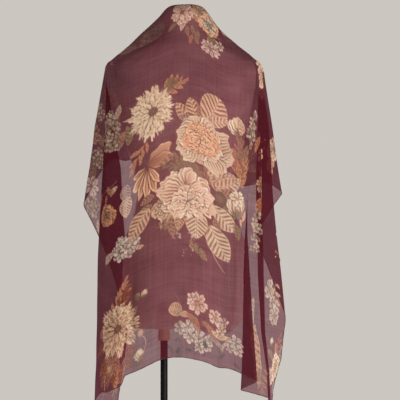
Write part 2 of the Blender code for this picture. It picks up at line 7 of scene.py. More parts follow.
import bmesh
import bpy
import numpy as np
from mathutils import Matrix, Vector


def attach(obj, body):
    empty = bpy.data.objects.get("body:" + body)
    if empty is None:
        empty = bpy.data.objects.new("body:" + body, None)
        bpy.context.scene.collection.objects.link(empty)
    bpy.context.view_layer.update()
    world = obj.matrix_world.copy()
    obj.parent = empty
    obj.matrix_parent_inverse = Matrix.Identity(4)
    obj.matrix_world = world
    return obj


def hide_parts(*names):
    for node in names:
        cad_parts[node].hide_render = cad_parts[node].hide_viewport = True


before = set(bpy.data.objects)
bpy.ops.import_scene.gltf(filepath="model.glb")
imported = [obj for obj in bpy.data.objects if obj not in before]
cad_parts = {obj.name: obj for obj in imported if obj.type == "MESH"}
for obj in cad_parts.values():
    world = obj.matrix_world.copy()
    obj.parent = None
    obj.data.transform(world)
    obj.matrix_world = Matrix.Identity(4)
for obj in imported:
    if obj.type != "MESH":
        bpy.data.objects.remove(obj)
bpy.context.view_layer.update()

FORM_X = 0.0507          # the form's middle stands this far off the post
CLEAR = 0.007            # least distance of the cloth's middle from the form
LIFT = 0.006             # the same, measured upward on the shoulders

SCARF = 0.95             # side of the square
NECK_HALF = 0.045        # half width of the flat patch over the neck
NECK_COVER = 0.052       # half depth of that patch
TIP_FALL = 0.165         # distance from the upper hem to a shoulder tip
TIP_HALF = 0.015         # half depth of the ridge at a shoulder tip
RIDGE_SAG = 0.35         # roundness of the ridge across its depth
SHOULDER_HALF = 0.191    # half width where the hanging part stops spreading


# Form: one row for each level section.
# (height, half width, reach to the back, reach to the front, roundness)
FORM_SECTIONS = (
    (1.4490, 0.0395, 0.0385, 0.0395, 2.0),
    (1.4450, 0.0440, 0.0430, 0.0440, 2.0),
    (1.4250, 0.0470, 0.0475, 0.0465, 2.0),
    (1.3950, 0.0520, 0.0540, 0.0500, 2.0),
    (1.3780, 0.0660, 0.0590, 0.0530, 2.1),
    (1.3620, 0.0960, 0.0650, 0.0560, 2.2),
    (1.3420, 0.1370, 0.0700, 0.0590, 2.3),
    (1.3220, 0.1670, 0.0750, 0.0620, 2.4),
    (1.3000, 0.1770, 0.0820, 0.0680, 2.4),
    (1.2600, 0.1750, 0.0920, 0.0830, 2.4),
    (1.2100, 0.1660, 0.0960, 0.1030, 2.4),
    (1.1600, 0.1550, 0.0930, 0.1150, 2.4),
    (1.1150, 0.1440, 0.0870, 0.1130, 2.3),
    (1.0600, 0.1290, 0.0770, 0.0940, 2.2),
    (1.0000, 0.1160, 0.0730, 0.0860, 2.2),
    (0.9400, 0.1270, 0.0820, 0.0900, 2.2),
    (0.8800, 0.1480, 0.1000, 0.0950, 2.3),
    (0.8100, 0.1530, 0.1140, 0.0960, 2.3),
    (0.7500, 0.1530, 0.1110, 0.0940, 2.3),
    (0.7050, 0.1500, 0.1010, 0.0900, 2.3),
    (0.6800, 0.1440, 0.0920, 0.0840, 2.3),
    (0.6660, 0.1310, 0.0810, 0.0750, 2.3),
)
# Line of the scarf's ridge from the left shoulder tip over the neck to the
# right one, and of its lower back hem: (across, height)
RIDGE = ((-0.191, 1.3235), (-0.178, 1.3300), (-0.159, 1.3420), (-0.1335, 1.3640), (-0.109, 1.3895),
         (-0.0845, 1.4110), (-0.060, 1.4340), (-0.048, 1.4500), (-0.035, 1.4585),
         (-0.015, 1.4612), (0.015, 1.4612), (0.035, 1.4590), (0.050, 1.4520),
         (0.0625, 1.4320), (0.087, 1.4000), (0.1115, 1.3780), (0.136, 1.3575),
         (0.1654, 1.3350), (0.185, 1.3255))
BACK_HEM = ((-0.191, 0.5310), (-0.152, 0.5500), (-0.109, 0.5680), (-0.060, 0.5927),
            (-0.030, 0.5980), (0.000, 0.5988), (0.050, 0.5878), (0.087, 0.5706),
            (0.136, 0.5560), (0.185, 0.5478))
HEM_STEP = 0.020         # extra drop of the left end of the back hem

# How far the cloth hangs from the middle plane: (height, middle, sides)
BACK_FALL = ((0.450, 0.134, 0.126), (0.600, 0.132, 0.120), (0.820, 0.128, 0.106),
             (0.950, 0.121, 0.096), (1.100, 0.113, 0.080), (1.235, 0.106, 0.054),
             (1.340, 0.080, 0.016), (1.446, 0.052, 0.015), (1.470, 0.050, 0.015))
FRONT_FALL = ((0.900, 0.122, 0.078), (1.050, 0.126, 0.070), (1.120, 0.128, 0.060),
              (1.170, 0.124, 0.052), (1.230, 0.109, 0.040), (1.300, 0.085, 0.020),
              (1.380, 0.066, 0.015), (1.470, 0.050, 0.015))

# Folds that fan out from each shoulder tip.  A row for each fold: its angle
# on the flat cloth, measured at the tip from straight outward (0) to straight
# down the back (90); then, at each reach from the tip, how far the fold lies
# outward of the tip and how far forward of the middle plane, in millimetres.
LEFT_REACH = (0.000, 0.035, 0.080, 0.160, 0.250, 0.360, 0.450, 0.600, 0.700, 0.840)
LEFT_FOLDS = (
    dict(name="near fold", angle=83.0,
         outward=(0, 3.0, 2.2, 4.2, 10.5, 18.4, 22.8, 24.3, 25.7, 33.1),
         forward=(-13, -25, -45, -61, -72, -82, -88, -99, -105, -112)),
    dict(name="inner fold", angle=66.0,
         outward=(0, 5.0, -7.4, -19.6, -36.0, -41.0, -48.0, -49.0, -49.0, -48.0),
         forward=(-5, -13, -21, -20, -4, 22, 50, 62, 64, 62)),
    dict(name="wing fold", angle=42.0,
         outward=(0, 8.5, 17.2, 32.6, 44.6, 61.3, 65.0, 65.0, 65.0, 65.0),
         forward=(5, -1, 0, 10, 26, 50, 60, 60, 60, 60)),
    dict(name="front turn", angle=0.0,
         outward=(0, 5.0, 4.9, -2.5, -15.9, -18.4, -18.4, -18.4, -18.4, -18.4),
         forward=(12, 13, 16, 31, 49, 66, 70, 70, 70, 70)),
)
RIGHT_REACH = (0.000, 0.035, 0.080, 0.160, 0.250, 0.330, 0.430, 0.500, 0.630, 0.720, 0.785, 0.860)
RIGHT_FOLDS = (
    dict(name="pleat edge", angle=91.5,
         outward=(0, -2.5, -8.7, -14.8, -24.6, -30.7, -29.4, -24.5, -16.0, -8.6, -3.7, -1.3),
         forward=(-13, -29, -50, -72, -91, -104, -116, -122, -131, -134, -136, -137)),
    dict(name="pleat root", angle=88.0,
         outward=(0, -1.0, -6.0, -8.4, -18.5, -30.7, -40.5, -44.2, -46.7, -49.1, -52.3, -54.0),
         forward=(-11, -26, -46, -69, -86, -98, -107, -111, -117, -120, -122, -123)),
    dict(name="narrow pleat edge", angle=80.4,
         outward=(0, 0.5, -2.5, 1.0, 6.5, 7.4, 10.8, 11.0, 13.5, 24.0, 26.5, 28.0),
         forward=(-8, -26, -46, -67, -82, -92, -101, -105, -113, -117, -119, -120)),
    dict(name="narrow pleat root", angle=76.6,
         outward=(0, 1.0, -2.5, -4.0, -9.0, -9.6, -8.6, -7.5, 1.5, 15.0, 18.5, 20.0),
         forward=(-6, -25, -43, -58, -68, -74, -80, -83, -88, -90, -92, -93)),
    dict(name="near fold", angle=64.2,
         outward=(0, 7.6, 12.2, 24.4, 30.5, 34.2, 42.8, 50.1, 63.6, 65.1, 41.6, 34.2),
         forward=(-2, -19, -34, -46, -54, -60, -64, -67, -70, -72, -74, -75)),
    dict(name="inner fold", angle=49.9,
         outward=(0, 5.0, -4.5, -8.0, -11.0, -11.0, -10.0, -9.0, -9.0, -13.0, -17.0, -19.0),
         forward=(4, -6, -18, -20, -14, -4, 10, 20, 24, 24, 24, 24)),
    dict(name="wing fold", angle=32.8,
         outward=(0, 12.0, 19.5, 31.8, 45.2, 58.7, 66.1, 68.5, 68.5, 68.5, 68.5, 68.5),
         forward=(9, 6, 4, 14, 30, 48, 60, 60, 60, 60, 60, 60)),
    dict(name="front turn", angle=0.0,
         outward=(0, 8.0, 4.8, 2.4, -2.5, -7.5, -9.9, -9.9, -9.9, -9.9, -9.9, -9.9),
         forward=(13, 14, 16, 32, 48, 60, 66, 66, 66, 66, 66, 66)),
)
# Drop of the cloth along a ray against its flat length: (angle, ratio)
LEFT_DROP = ((0, 0.92), (42, 1.012), (60, 1.037), (71, 1.047), (83, 1.078), (90, 1.043))
RIGHT_DROP = ((0, 1.115), (32.8, 1.018), (64.2, 1.003), (70.3, 1.03), (79, 1.066),
              (88, 1.052), (91.5, 1.024), (98, 1.009))
# Per side: the tip, the tip's place across the flat cloth, the flat angle of
# the ray where the back panel ends, the direction in which the ray straight
# outward hangs at the front (degrees below level, inward side), and the folds
SIDES = {
    -1: dict(tip_x=0.191, tip_z=1.3235, flat=0.210, start=90.0, hang=-80.0,
             reach=LEFT_REACH, folds=LEFT_FOLDS, drop=LEFT_DROP),
    +1: dict(tip_x=0.185, tip_z=1.3255, flat=0.200, start=98.0, hang=-84.0,
             reach=RIGHT_REACH, folds=RIGHT_FOLDS, drop=RIGHT_DROP),
}
FOLD_ROUNDING = 0.008    # half width of the rounding of a fold
WAVE_DEPTH = 0.006       # soft waves of the lower back
SIDE_EDGE = SCARF / 2


# --------------------------------------------------------------------------
# Small helpers
# --------------------------------------------------------------------------
def column(table, index):
    return [row[index] for row in table]


def read(table, at, index=1):
    """Value of a table's column at a given first-column value."""
    return np.interp(at, column(table, 0), column(table, index))


def read_soft(table, at, reach=0.008):
    """The same, averaged over a short distance so that corners are rounded."""
    steps = (-1.0, -0.5, 0.0, 0.5, 1.0)
    return sum(w * read(table, at + s * reach) for s, w in zip(steps, (1, 2, 2, 2, 1))) / 8


def smooth_max(a, b, blend=0.004):
    return 0.5 * (a + b + np.sqrt((a - b) ** 2 + blend * blend))


def ease(t):
    t = np.clip(t, 0, 1)
    return t * t * (3 - 2 * t)


def settle(t):
    """0 to 1, quick at first."""
    t = np.clip(t, 0, 1)
    return t * (2 - t)


# --------------------------------------------------------------------------
# The form's surface
# --------------------------------------------------------------------------
def form_reach(x, z, front):
    """Distance of the form's skin from the middle plane at (x, z)."""
    rows = FORM_SECTIONS[::-1]
    half = np.interp(z, column(rows, 0), column(rows, 1))
    deep = np.interp(z, column(rows, 0), column(rows, 3 if front else 2))
    power = np.interp(z, column(rows, 0), column(rows, 4))
    return deep * np.clip(1 - (np.abs(x) / half) ** power, 0, 1) ** (1 / power)


# --------------------------------------------------------------------------
# The scarf's middle surface.  u runs across the flat square from its middle,
# v runs down from the upper hem.
# --------------------------------------------------------------------------
def ridge_measures(u):
    """Half depth of the ridge, and its distance from the upper hem."""
    flat = np.where(u < 0, SIDES[-1]["flat"], SIDES[1]["flat"])
    t = np.clip((np.abs(u) - NECK_HALF) / (flat - NECK_HALF), 0, 1)
    return (NECK_COVER + (TIP_HALF - NECK_COVER) * t,
            NECK_COVER + (TIP_FALL - NECK_COVER) * t)


def across(u):
    return np.where(u < 0, u * SIDES[-1]["tip_x"] / SIDES[-1]["flat"],
                    u * SIDES[1]["tip_x"] / SIDES[1]["flat"])


def hang(x, z, half, below, front):
    """Distance from the middle plane of cloth that hangs from the ridge."""
    table = FRONT_FALL if front else BACK_FALL
    q = np.clip(np.abs(x) / SHOULDER_HALF, 0, 1) ** 2.4
    free = read(table, z, 1) * (1 - q) + read(table, z, 2) * q
    y = half + (free - half) * settle(below / 0.12)
    skin = np.maximum(form_reach(x, z, front), form_reach(x, z - LIFT, front))
    return y + (smooth_max(y, skin + CLEAR) - y) * np.clip(below / 0.012, 0, 1)


def back_panel(u, v):
    half, line = ridge_measures(u)
    x = across(u)
    top = read_soft(RIDGE, x) - RIDGE_SAG * half
    s = np.clip((v - line - half) / (SCARF - line - half), 0, 1)
    z = top + (read_soft(BACK_HEM, x, 0.010) - top) * s
    z = z - HEM_STEP * ease((-0.1465 - x) / 0.006) * s ** 10
    y = -hang(x, z, half, top - z, False)
    depth = WAVE_DEPTH * ease((1.05 - z) / 0.45) * np.clip((0.21 - np.abs(u)) / 0.05, 0, 1)
    y = y - depth * (1.5 + np.sin(2 * np.pi * u / 0.105 + 0.6) + 0.5 * np.sin(2 * np.pi * u / 0.061 + 2.0))
    return x, y, z


def ridge_strip(u, v):
    half, line = ridge_measures(u)
    x = across(u)
    t = np.clip((v - line) / half, -1, 1)
    flat = np.where(u < 0, SIDES[-1]["flat"], SIDES[1]["flat"])
    end = ease(1 - (flat - np.abs(u)) / 0.030)
    round_ = np.abs(t) ** 4
    return x, -half * t, read_soft(RIDGE, x) - RIDGE_SAG * half * (round_ + (1 - round_) * end)


def front_panel(side, reach, angle):
    """Cloth in front of the shoulder, at a reach and flat angle from the tip."""
    d = SIDES[side]
    neck_x = NECK_HALF / d["flat"] * d["tip_x"]
    neck_z = read(RIDGE, side * neck_x) - RIDGE_SAG * NECK_COVER
    tip_z = d["tip_z"] - RIDGE_SAG * TIP_HALF
    slope = math.degrees(math.atan2(neck_z - tip_z, d["tip_x"] - neck_x))
    first = -math.degrees(math.atan2(TIP_FALL - TIP_HALF, -(d["flat"] - NECK_HALF)))
    share = (angle - first) / (0 - first)
    ridge_drop = (math.hypot(d["tip_x"] - neck_x, neck_z - tip_z)
                  / math.hypot(d["flat"] - NECK_HALF, TIP_FALL - TIP_HALF))
    length = reach * (ridge_drop + (read(d["drop"], 0) - ridge_drop) * share)
    turn = np.radians(slope + (d["hang"] - slope) * share)
    x = d["tip_x"] - length * np.cos(turn)
    z = tip_z + length * np.sin(turn)
    # the upper edge keeps to the ridge
    t = np.clip((d["tip_x"] - x) / (d["tip_x"] - neck_x), 0, 1)
    half = TIP_HALF + (NECK_COVER - TIP_HALF) * t
    straight = tip_z + (neck_z - tip_z) * t
    edge = read_soft(RIDGE, side * np.clip(x, 0, None)) - RIDGE_SAG * half
    below = np.maximum(straight - z, 0)
    z = z + (edge - straight) * np.clip(1 - below / 0.06, 0, 1)
    return side * x, hang(x, z, half, below, True), z


def fold_fan(side, reach, angle):
    """Cloth beside and behind the shoulder: walk along the row of folds."""
    d = SIDES[side]
    tip_z = d["tip_z"] - RIDGE_SAG * TIP_HALF
    lean = math.radians(d["start"] - 90)
    start = back_panel(side * (d["flat"] - reach * math.sin(lean)),
                       TIP_FALL + TIP_HALF + reach * math.cos(lean))
    stops = [d["start"]] + [f["angle"] for f in d["folds"]]
    xs = [np.abs(start[0])] + [d["tip_x"] + np.interp(reach, d["reach"], f["outward"]) / 1000 for f in d["folds"]]
    ys = [start[1]] + [np.interp(reach, d["reach"], f["forward"]) / 1000 for f in d["folds"]]
    rounding = np.minimum(np.degrees(FOLD_ROUNDING / np.maximum(reach, 0.02)), 2.0)
    for a, b in zip(stops, stops[1:]):
        close = ease(1.4 - np.maximum(a - angle, angle - b) / (a - b))
        rounding = rounding + (np.minimum(rounding, 0.32 * (a - b)) - rounding) * np.clip(close, 0, 1)
    rounding = np.clip(np.minimum(rounding, np.minimum(angle, d["start"] - angle)), 0, None)
    x = np.zeros_like(reach)
    y = np.zeros_like(reach)
    steps = ((-1, 1), (-0.66, 2), (-0.33, 3), (0, 3), (0.33, 3), (0.66, 2), (1, 1))
    for offset, weight in steps:
        at = np.clip(angle + offset * rounding, 0, d["start"])
        for k in range(len(stops) - 1):
            here = (at <= stops[k]) & (at >= stops[k + 1])
            t = (stops[k] - at) / (stops[k] - stops[k + 1])
            x = x + np.where(here, weight * (xs[k] + (xs[k + 1] - xs[k]) * t), 0) / 15
            y = y + np.where(here, weight * (ys[k] + (ys[k + 1] - ys[k]) * t), 0) / 15
    return x, y, start, stops[1], tip_z


def side_panel(side, u, v):
    d = SIDES[side]
    out = np.maximum(np.abs(u) - d["flat"], 1e-9) if d["start"] <= 90 else np.abs(u) - d["flat"]
    down = v - TIP_FALL
    down = down - np.clip(down, -TIP_HALF, TIP_HALF)
    reach = np.hypot(out, down) + 1e-9
    angle = np.degrees(np.arctan2(down, out))
    x, y, start, first, tip_z = fold_fan(side, reach, np.clip(angle, 0, d["start"]))
    length = reach * read(d["drop"], angle)
    cone = tip_z - np.sqrt(np.maximum(length ** 2 - (x - d["tip_x"]) ** 2 - (y + TIP_HALF) ** 2,
                                      (0.5 * length) ** 2))
    k = ease((d["start"] - angle) / (d["start"] - first))
    z = start[2] * (1 - k) + cone * k
    front = front_panel(side, reach, np.minimum(angle, 0))
    t = np.clip((TIP_HALF - (v - TIP_FALL)) / (2 * TIP_HALF), 0, 1)
    return [a * (1 - t) + b * t for a, b in zip((side * x, y, z), front)]


def scarf(u, v):
    """Middle surface of the draped scarf for flat coordinates u, v."""
    u, v = np.broadcast_arrays(np.asarray(u, float), np.asarray(v, float))
    half, line = ridge_measures(u)
    out = [np.zeros(u.shape) for _ in range(3)]

    def put(where, points):
        for target, value in zip(out, points):
            target[where] = value

    for side in (-1, 1):
        d = SIDES[side]
        mine = (u < 0) if side < 0 else (u >= 0)
        lean = math.tan(math.radians(d["start"] - 90))
        past = (np.abs(u) > d["flat"]) | (
            (v > TIP_FALL + TIP_HALF) & (np.abs(u) > d["flat"] - (v - TIP_FALL - TIP_HALF) * lean))
        where = mine & past
        if where.any():
            put(where, side_panel(side, u[where], v[where]))
        where = mine & ~past & (v >= line + half)
        if where.any():
            put(where, back_panel(u[where], v[where]))
        where = mine & ~past & (v < line + half) & ((v > line - half) | (np.abs(u) <= NECK_HALF))
        if where.any():
            put(where, ridge_strip(u[where], v[where]))
        where = mine & ~past & (v <= line - half) & (np.abs(u) > NECK_HALF)
        if where.any():
            out_ = np.abs(u[where]) - d["flat"]
            down = v[where] - (TIP_FALL - TIP_HALF)
            put(where, front_panel(side, np.hypot(out_, down) + 1e-9, np.degrees(np.arctan2(down, out_))))
    return np.stack(out, -1)




# --------------------------------------------------------------------------
# The print: ordinary garden flowers and leaves, drawn on the flat square by
# the functions below.  Places are (u, v) in metres on the flat cloth, turns
# are degrees from straight right (0) towards straight down (90).
# --------------------------------------------------------------------------
CANVAS = 1400                      # paint cells along a side
CELL = SCARF / CANVAS
GROUND = (0.430, 0.085, 0.168)

# deep, middle and light tone of each kind of motif
CREAM = ((0.50, 0.33, 0.23), (0.87, 0.74, 0.60), (1.00, 0.95, 0.82))
WARM_CREAM = ((0.48, 0.29, 0.21), (0.88, 0.74, 0.62), (1.00, 0.93, 0.83))
PEACH = ((0.56, 0.28, 0.17), (0.88, 0.65, 0.48), (1.00, 0.88, 0.73))
ORANGE = ((0.38, 0.18, 0.11), (0.72, 0.48, 0.33), (0.95, 0.75, 0.56))
RUST = ((0.36, 0.16, 0.11), (0.63, 0.37, 0.26), (0.92, 0.70, 0.54))
EMBER = ((0.22, 0.04, 0.02), (0.41, 0.14, 0.05), (0.82, 0.50, 0.25))
DUSK = ((0.20, 0.10, 0.09), (0.36, 0.22, 0.17), (0.58, 0.42, 0.33))
PALE = ((0.44, 0.35, 0.31), (0.78, 0.70, 0.63), (0.98, 0.92, 0.86))
AMBER = ((0.46, 0.21, 0.12), (0.82, 0.56, 0.40), (1.00, 0.87, 0.72))
STRAW = ((0.38, 0.21, 0.15), (0.70, 0.51, 0.38), (1.00, 0.90, 0.75))
BLUSH = ((0.50, 0.30, 0.26), (0.84, 0.68, 0.61), (0.99, 0.91, 0.85))
GREY = ((0.31, 0.22, 0.18), (0.66, 0.55, 0.47), (0.94, 0.84, 0.74))
OAT = ((0.38, 0.24, 0.17), (0.80, 0.69, 0.565), (0.99, 0.92, 0.80))
LILY = ((0.42, 0.21, 0.14), (0.75, 0.52, 0.39), (0.98, 0.83, 0.67))
ROSY = ((0.46, 0.26, 0.21), (0.77, 0.60, 0.52), (0.97, 0.88, 0.79))
CHALK = ((0.35, 0.26, 0.22), (0.68, 0.58, 0.51), (0.91, 0.84, 0.77))
OLIVE = ((0.27, 0.19, 0.13), (0.50, 0.40, 0.28), (0.76, 0.64, 0.48))
TAN = ((0.42, 0.25, 0.19), (0.77, 0.61, 0.48), (0.99, 0.89, 0.76))
BARK = ((0.28, 0.14, 0.11), (0.54, 0.37, 0.28), (0.84, 0.68, 0.55))
PLUM_LEAF = ((0.33, 0.16, 0.17), (0.52, 0.34, 0.31), (0.88, 0.74, 0.66))
DARK_BERRY = ((0.14, 0.06, 0.07), (0.16, 0.08, 0.08), (0.20, 0.10, 0.10))

paint = np.empty((CANVAS, CANVAS, 3))
paint[:] = GROUND
pigment = np.zeros((CANVAS, CANVAS))


def window(at, reach):
    """The part of the canvas around a place, with offsets from it in metres."""
    lo = [max(int((a - reach) / CELL), 0) for a in (at[0] + SCARF / 2, at[1])]
    hi = [min(int((a + reach) / CELL) + 1, CANVAS) for a in (at[0] + SCARF / 2, at[1])]
    du = (np.arange(lo[0], max(hi[0], lo[0])) + 0.5) * CELL - SCARF / 2 - at[0]
    dv = (np.arange(lo[1], max(hi[1], lo[1])) + 0.5) * CELL - at[1]
    return (slice(lo[1], max(hi[1], lo[1])), slice(lo[0], max(hi[0], lo[0]))), *np.meshgrid(du, dv)


def tones(palette, light):
    """Deep, middle and light tone of a palette, mixed by lightness 0 to 1."""
    light = np.clip(light, 0, 1)[..., None]
    deep, middle, high = (np.array(c) for c in palette)
    return np.where(light < 0.5, deep + (middle - deep) * light * 2, middle + (high - middle) * (light * 2 - 1))


def lay(place, colour, cover):
    cover = np.clip(cover, 0, 1)
    paint[place] += (colour - paint[place]) * cover[..., None]
    pigment[place] = np.maximum(pigment[place], cover)


def shade_under(place, cover, depth):
    """Darken what is already painted, beside an edge that lies over it."""
    paint[place] *= 1 - depth * np.clip(cover, 0, 1)[..., None] * pigment[place][..., None]


def turned_to(du, dv, turn):
    c, s = math.cos(math.radians(turn)), math.sin(math.radians(turn))
    return du * c + dv * s, dv * c - du * s


def outline(s, belly, blunt):
    """Half breadth of a petal or leaf along it, 1 at its widest."""
    inside = np.clip(s, 0, 1) ** (math.log(0.5) / math.log(belly))
    return np.clip(np.sin(math.pi * np.clip(inside, 0, 1)), 0, 1) ** blunt


def petal(at, turn, length, breadth, palette, belly=0.62, blunt=0.55, veins=4.0, curl=0.0,
          frill=0.03, glow=0.0, streak=0.26, rim=0.34, seed=0.0, shadow=0.50):
    """A petal from its foot at `at`: pale strands along it, a pale line inside
    its edge, a fine dark edge, and a shadow on what lies under it."""
    place, du, dv = window(at, max(length, breadth) * 1.15 + 0.004)
    if du.size == 0:
        return
    along, side = turned_to(du, dv, turn)
    s = along / length
    side = side - curl * length * s * s
    wave = frill * (np.sin(side / breadth * 11 + seed * 5.1) + 0.6 * np.sin(side / breadth * 23 + seed * 3.3))
    s = s + wave * np.clip(s, 0, 1) ** 2
    half = breadth / 2 * outline(s, belly, blunt) * (1 + 0.06 * np.sin(s * 19 + seed * 7.7))
    room = half - np.abs(side)
    inside = (s > 0) & (s < 1)
    shade_under(place, ease((room + 0.0036) / 0.0042) * inside, shadow)
    cover = ease((room + 0.0004) / 0.0011) * inside
    line = min(0.0021, 0.15 * breadth)
    pale = ease(room / (0.5 * line)) * ease((2.3 * line - room) / (1.2 * line)) * ease((s - 0.12) / 0.3)
    dark = 1 - ease(room / (0.55 * line))
    strand = np.cos(math.pi * veins * side / np.maximum(half, breadth * 0.10) + 0.9 * np.sin(s * 5 + seed))
    light = 0.16 + 0.46 * np.clip(s, 0, 1) ** 0.8 + glow + streak * strand * (1.15 - 0.55 * s)
    light = light + rim * pale - 0.48 * dark + 0.08 * np.sin(seed * 9 + side / breadth * 4)
    lay(place, tones(palette, light), cover)


def leaf(at, turn, length, breadth, palette, ribs=8.0, curl=0.08, belly=0.45, blunt=0.75,
         serrate=0.0, contrast=0.55, seed=0.0, fold=0.0, ground=0.0):
    """A leaf from its stalk end: a pale midrib and pale ribs that sweep
    forward, a pale margin, and the cloth's ground between them if asked."""
    place, du, dv = window(at, max(length, breadth) * 1.12 + 0.004)
    if du.size == 0:
        return
    along, side = turned_to(du, dv, turn)
    s = along / length
    side = side - curl * length * np.sin(math.pi * np.clip(s, 0, 1)) - 0.3 * curl * length * s
    half = breadth / 2 * outline(s, belly, blunt)
    half = half * (1 + (serrate + 0.03) * (np.abs((s * ribs * 2) % 1 - 0.5) * 2 - 0.5))
    room = half - np.abs(side)
    inside = (s > 0) & (s < 1)
    shade_under(place, ease((room + 0.003) / 0.004) * inside, 0.38)
    cover = ease((room + 0.0004) / 0.0011) * inside
    q = np.clip(np.abs(side) / np.maximum(half, 1e-6), 0, 1)
    sweep = ribs * (s - 0.85 * (1 - 0.25 * q) * np.abs(side) / length) + 0.05 * np.sin(7 * q + seed + 9 * s) + (side > 0) * 0.35
    band = 1 - (0.5 - 0.5 * np.cos(2 * math.pi * sweep)) ** 2.4
    strand = 0.5 + 0.5 * np.cos(6 * math.pi * sweep + 0.8)
    light = 0.30 + contrast * (band - 0.45) * (1.1 - 0.35 * q) + 0.10 * strand * band + 0.06 * np.sin(23 * s + 5 * seed)
    light = light + fold * np.where(side > 0, -0.18, 0.08)
    line = min(0.0017, 0.11 * breadth)
    margin = ease(room / (0.4 * line)) * ease((1.9 * line - room) / line)
    rib = min(0.0015, 0.05 * breadth)
    midrib = np.exp(-((np.abs(side) - 1.2 * rib) / (0.6 * rib)) ** 2) * (s < 0.95)
    groove = np.exp(-(side / (0.55 * rib)) ** 2) * (s < 0.95)
    pale = np.maximum(0.8 * midrib, 0.75 * margin)
    light = light * (1 - pale) + 0.88 * pale - 0.45 * (1 - ease(room / (0.4 * line))) - 0.30 * groove
    lay(place, tones(palette, light), cover * (1 - ground * (1 - band) * (1 - pale)))


def stalk(start, end, bend, thick, palette, light=0.55, taper=0.5):
    """A thin stem, bent to one side between its ends."""
    start, end = np.array(start, float), np.array(end, float)
    middle, reach = (start + end) / 2, np.linalg.norm(end - start) / 2 + abs(bend) + 0.004
    place, du, dv = window(middle, reach)
    if du.size == 0:
        return
    axis = (end - start) / np.linalg.norm(end - start)
    along = du * axis[0] + dv * axis[1]
    side = dv * axis[0] - du * axis[1]
    length = np.linalg.norm(end - start)
    s = along / length + 0.5
    side = side - bend * (1 - (2 * s - 1) ** 2)
    half = thick / 2 * (1 - taper * np.clip(s, 0, 1))
    cover = ease((half - np.abs(side) + 0.0004) / 0.0010) * (s > 0) * (s < 1)
    lay(place, tones(palette, light + 0.2 * side / np.maximum(half, 1e-6)), cover)


def disc(at, across, high, palette, grain=1.0, light=0.5, turn=0.0, seed=0):
    """A seeded flower middle or a berry."""
    place, du, dv = window(at, max(across, high) + 0.002)
    if du.size == 0:
        return
    a, b = turned_to(du, dv, turn)
    r = np.hypot(a / across, b / high)
    dots = np.sin(a * 2100 + seed) * np.sin(b * 1900 + 1.7 * seed) * grain
    lay(place, tones(palette, light + 0.25 * dots - 0.3 * r), ease((1 - r) * across / 0.0015))


def ring_of_petals(at, count, length, breadth, palette, rng, squash=1.0, lean=0.0, lean_turn=0.0,
                   start=0.0, foot=0.0, spread=360.0, jitter=0.25, **look):
    """Petals round a middle, in an order that lets each overlap the last."""
    order = np.argsort(np.sin(np.arange(count) * 2.4))
    for k in order:
        turn = start + spread * (k + jitter * rng.uniform(-1, 1)) / count
        c, s = math.cos(math.radians(turn)), math.sin(math.radians(turn)) * squash
        far = math.hypot(c, s) * (1 + lean * math.cos(math.radians(turn - lean_turn)))
        aim = math.degrees(math.atan2(s, c))
        foot_at = (at[0] + foot * c, at[1] + foot * s)
        petal(foot_at, aim, length * far * rng.uniform(0.88, 1.10), breadth * rng.uniform(0.86, 1.14),
              palette, seed=rng.uniform(0, 6), curl=rng.uniform(-0.12, 0.12), glow=rng.uniform(-0.10, 0.12), **look)


def chrysanthemum(at, radius, palette, seed, squash=1.0, lean=0.0, lean_turn=90.0, eye=GREY, eye_size=0.20):
    rng = np.random.default_rng(seed)
    for share, count, wide in ((1.0, 22, 0.27), (0.88, 21, 0.26), (0.75, 19, 0.25), (0.62, 16, 0.23),
                               (0.50, 14, 0.20), (0.38, 11, 0.16)):
        ring_of_petals(at, count, radius * share, radius * wide, palette, rng, squash=squash, lean=lean,
                       lean_turn=lean_turn, start=rng.uniform(0, 40), foot=radius * 0.06,
                       belly=0.78, blunt=0.40, veins=2.0, frill=0.09, streak=0.24, rim=0.36, shadow=0.46)
    disc(at, radius * eye_size, radius * eye_size * 0.8 * squash, eye, light=0.40, seed=seed)


def rose(at, radius, outer, inner, seed, squash=0.92, heart=(0.0, 0.0), open_turn=40.0):
    """Broad outer petals, and a tightly furled heart."""
    rng = np.random.default_rng(seed)
    heart_at = (at[0] + heart[0], at[1] + heart[1])
    ring_of_petals(at, 9, radius, radius * 0.84, outer, rng, squash=squash, start=open_turn,
                   belly=0.70, blunt=0.38, veins=8.0, frill=0.045, streak=0.34, rim=0.46)
    ring_of_petals(heart_at, 8, radius * 0.78, radius * 0.74, outer, rng, squash=squash, start=open_turn + 20,
                   belly=0.72, blunt=0.38, veins=7.0, frill=0.04, streak=0.32, rim=0.48)
    for share, count in ((0.60, 10), (0.53, 10), (0.46, 9), (0.39, 9), (0.32, 8), (0.25, 7), (0.18, 6), (0.11, 4)):
        ring_of_petals(heart_at, count, radius * share, radius * share * 0.84, inner, rng, squash=squash,
                       start=rng.uniform(0, 60), belly=0.78, blunt=0.36, veins=1.0, frill=0.05,
                       streak=0.12, rim=0.66, shadow=0.62)


def peony(at, radius, palette, seed, squash=0.75, heart=(0.0, 0.0)):
    """Large soft petals, finely veined, round a gathered middle."""
    rng = np.random.default_rng(seed)
    heart_at = (at[0] + heart[0], at[1] + heart[1])
    ring_of_petals(at, 10, radius, radius * 0.78, palette, rng, squash=squash, start=15, belly=0.70,
                   blunt=0.36, veins=7.0, frill=0.05, streak=0.34, rim=0.48)
    ring_of_petals(at, 8, radius * 0.80, radius * 0.70, palette, rng, squash=squash, start=48, belly=0.72,
                   blunt=0.36, veins=7.0, frill=0.05, streak=0.32, rim=0.48)
    for share, count in ((0.62, 9), (0.50, 9), (0.38, 8), (0.27, 7), (0.16, 5)):
        ring_of_petals(heart_at, count, radius * share, radius * share * 0.66, palette, rng, squash=squash,
                       start=rng.uniform(0, 60), belly=0.76, blunt=0.40, veins=3.0, frill=0.06,
                       streak=0.20, rim=0.45, shadow=0.55)


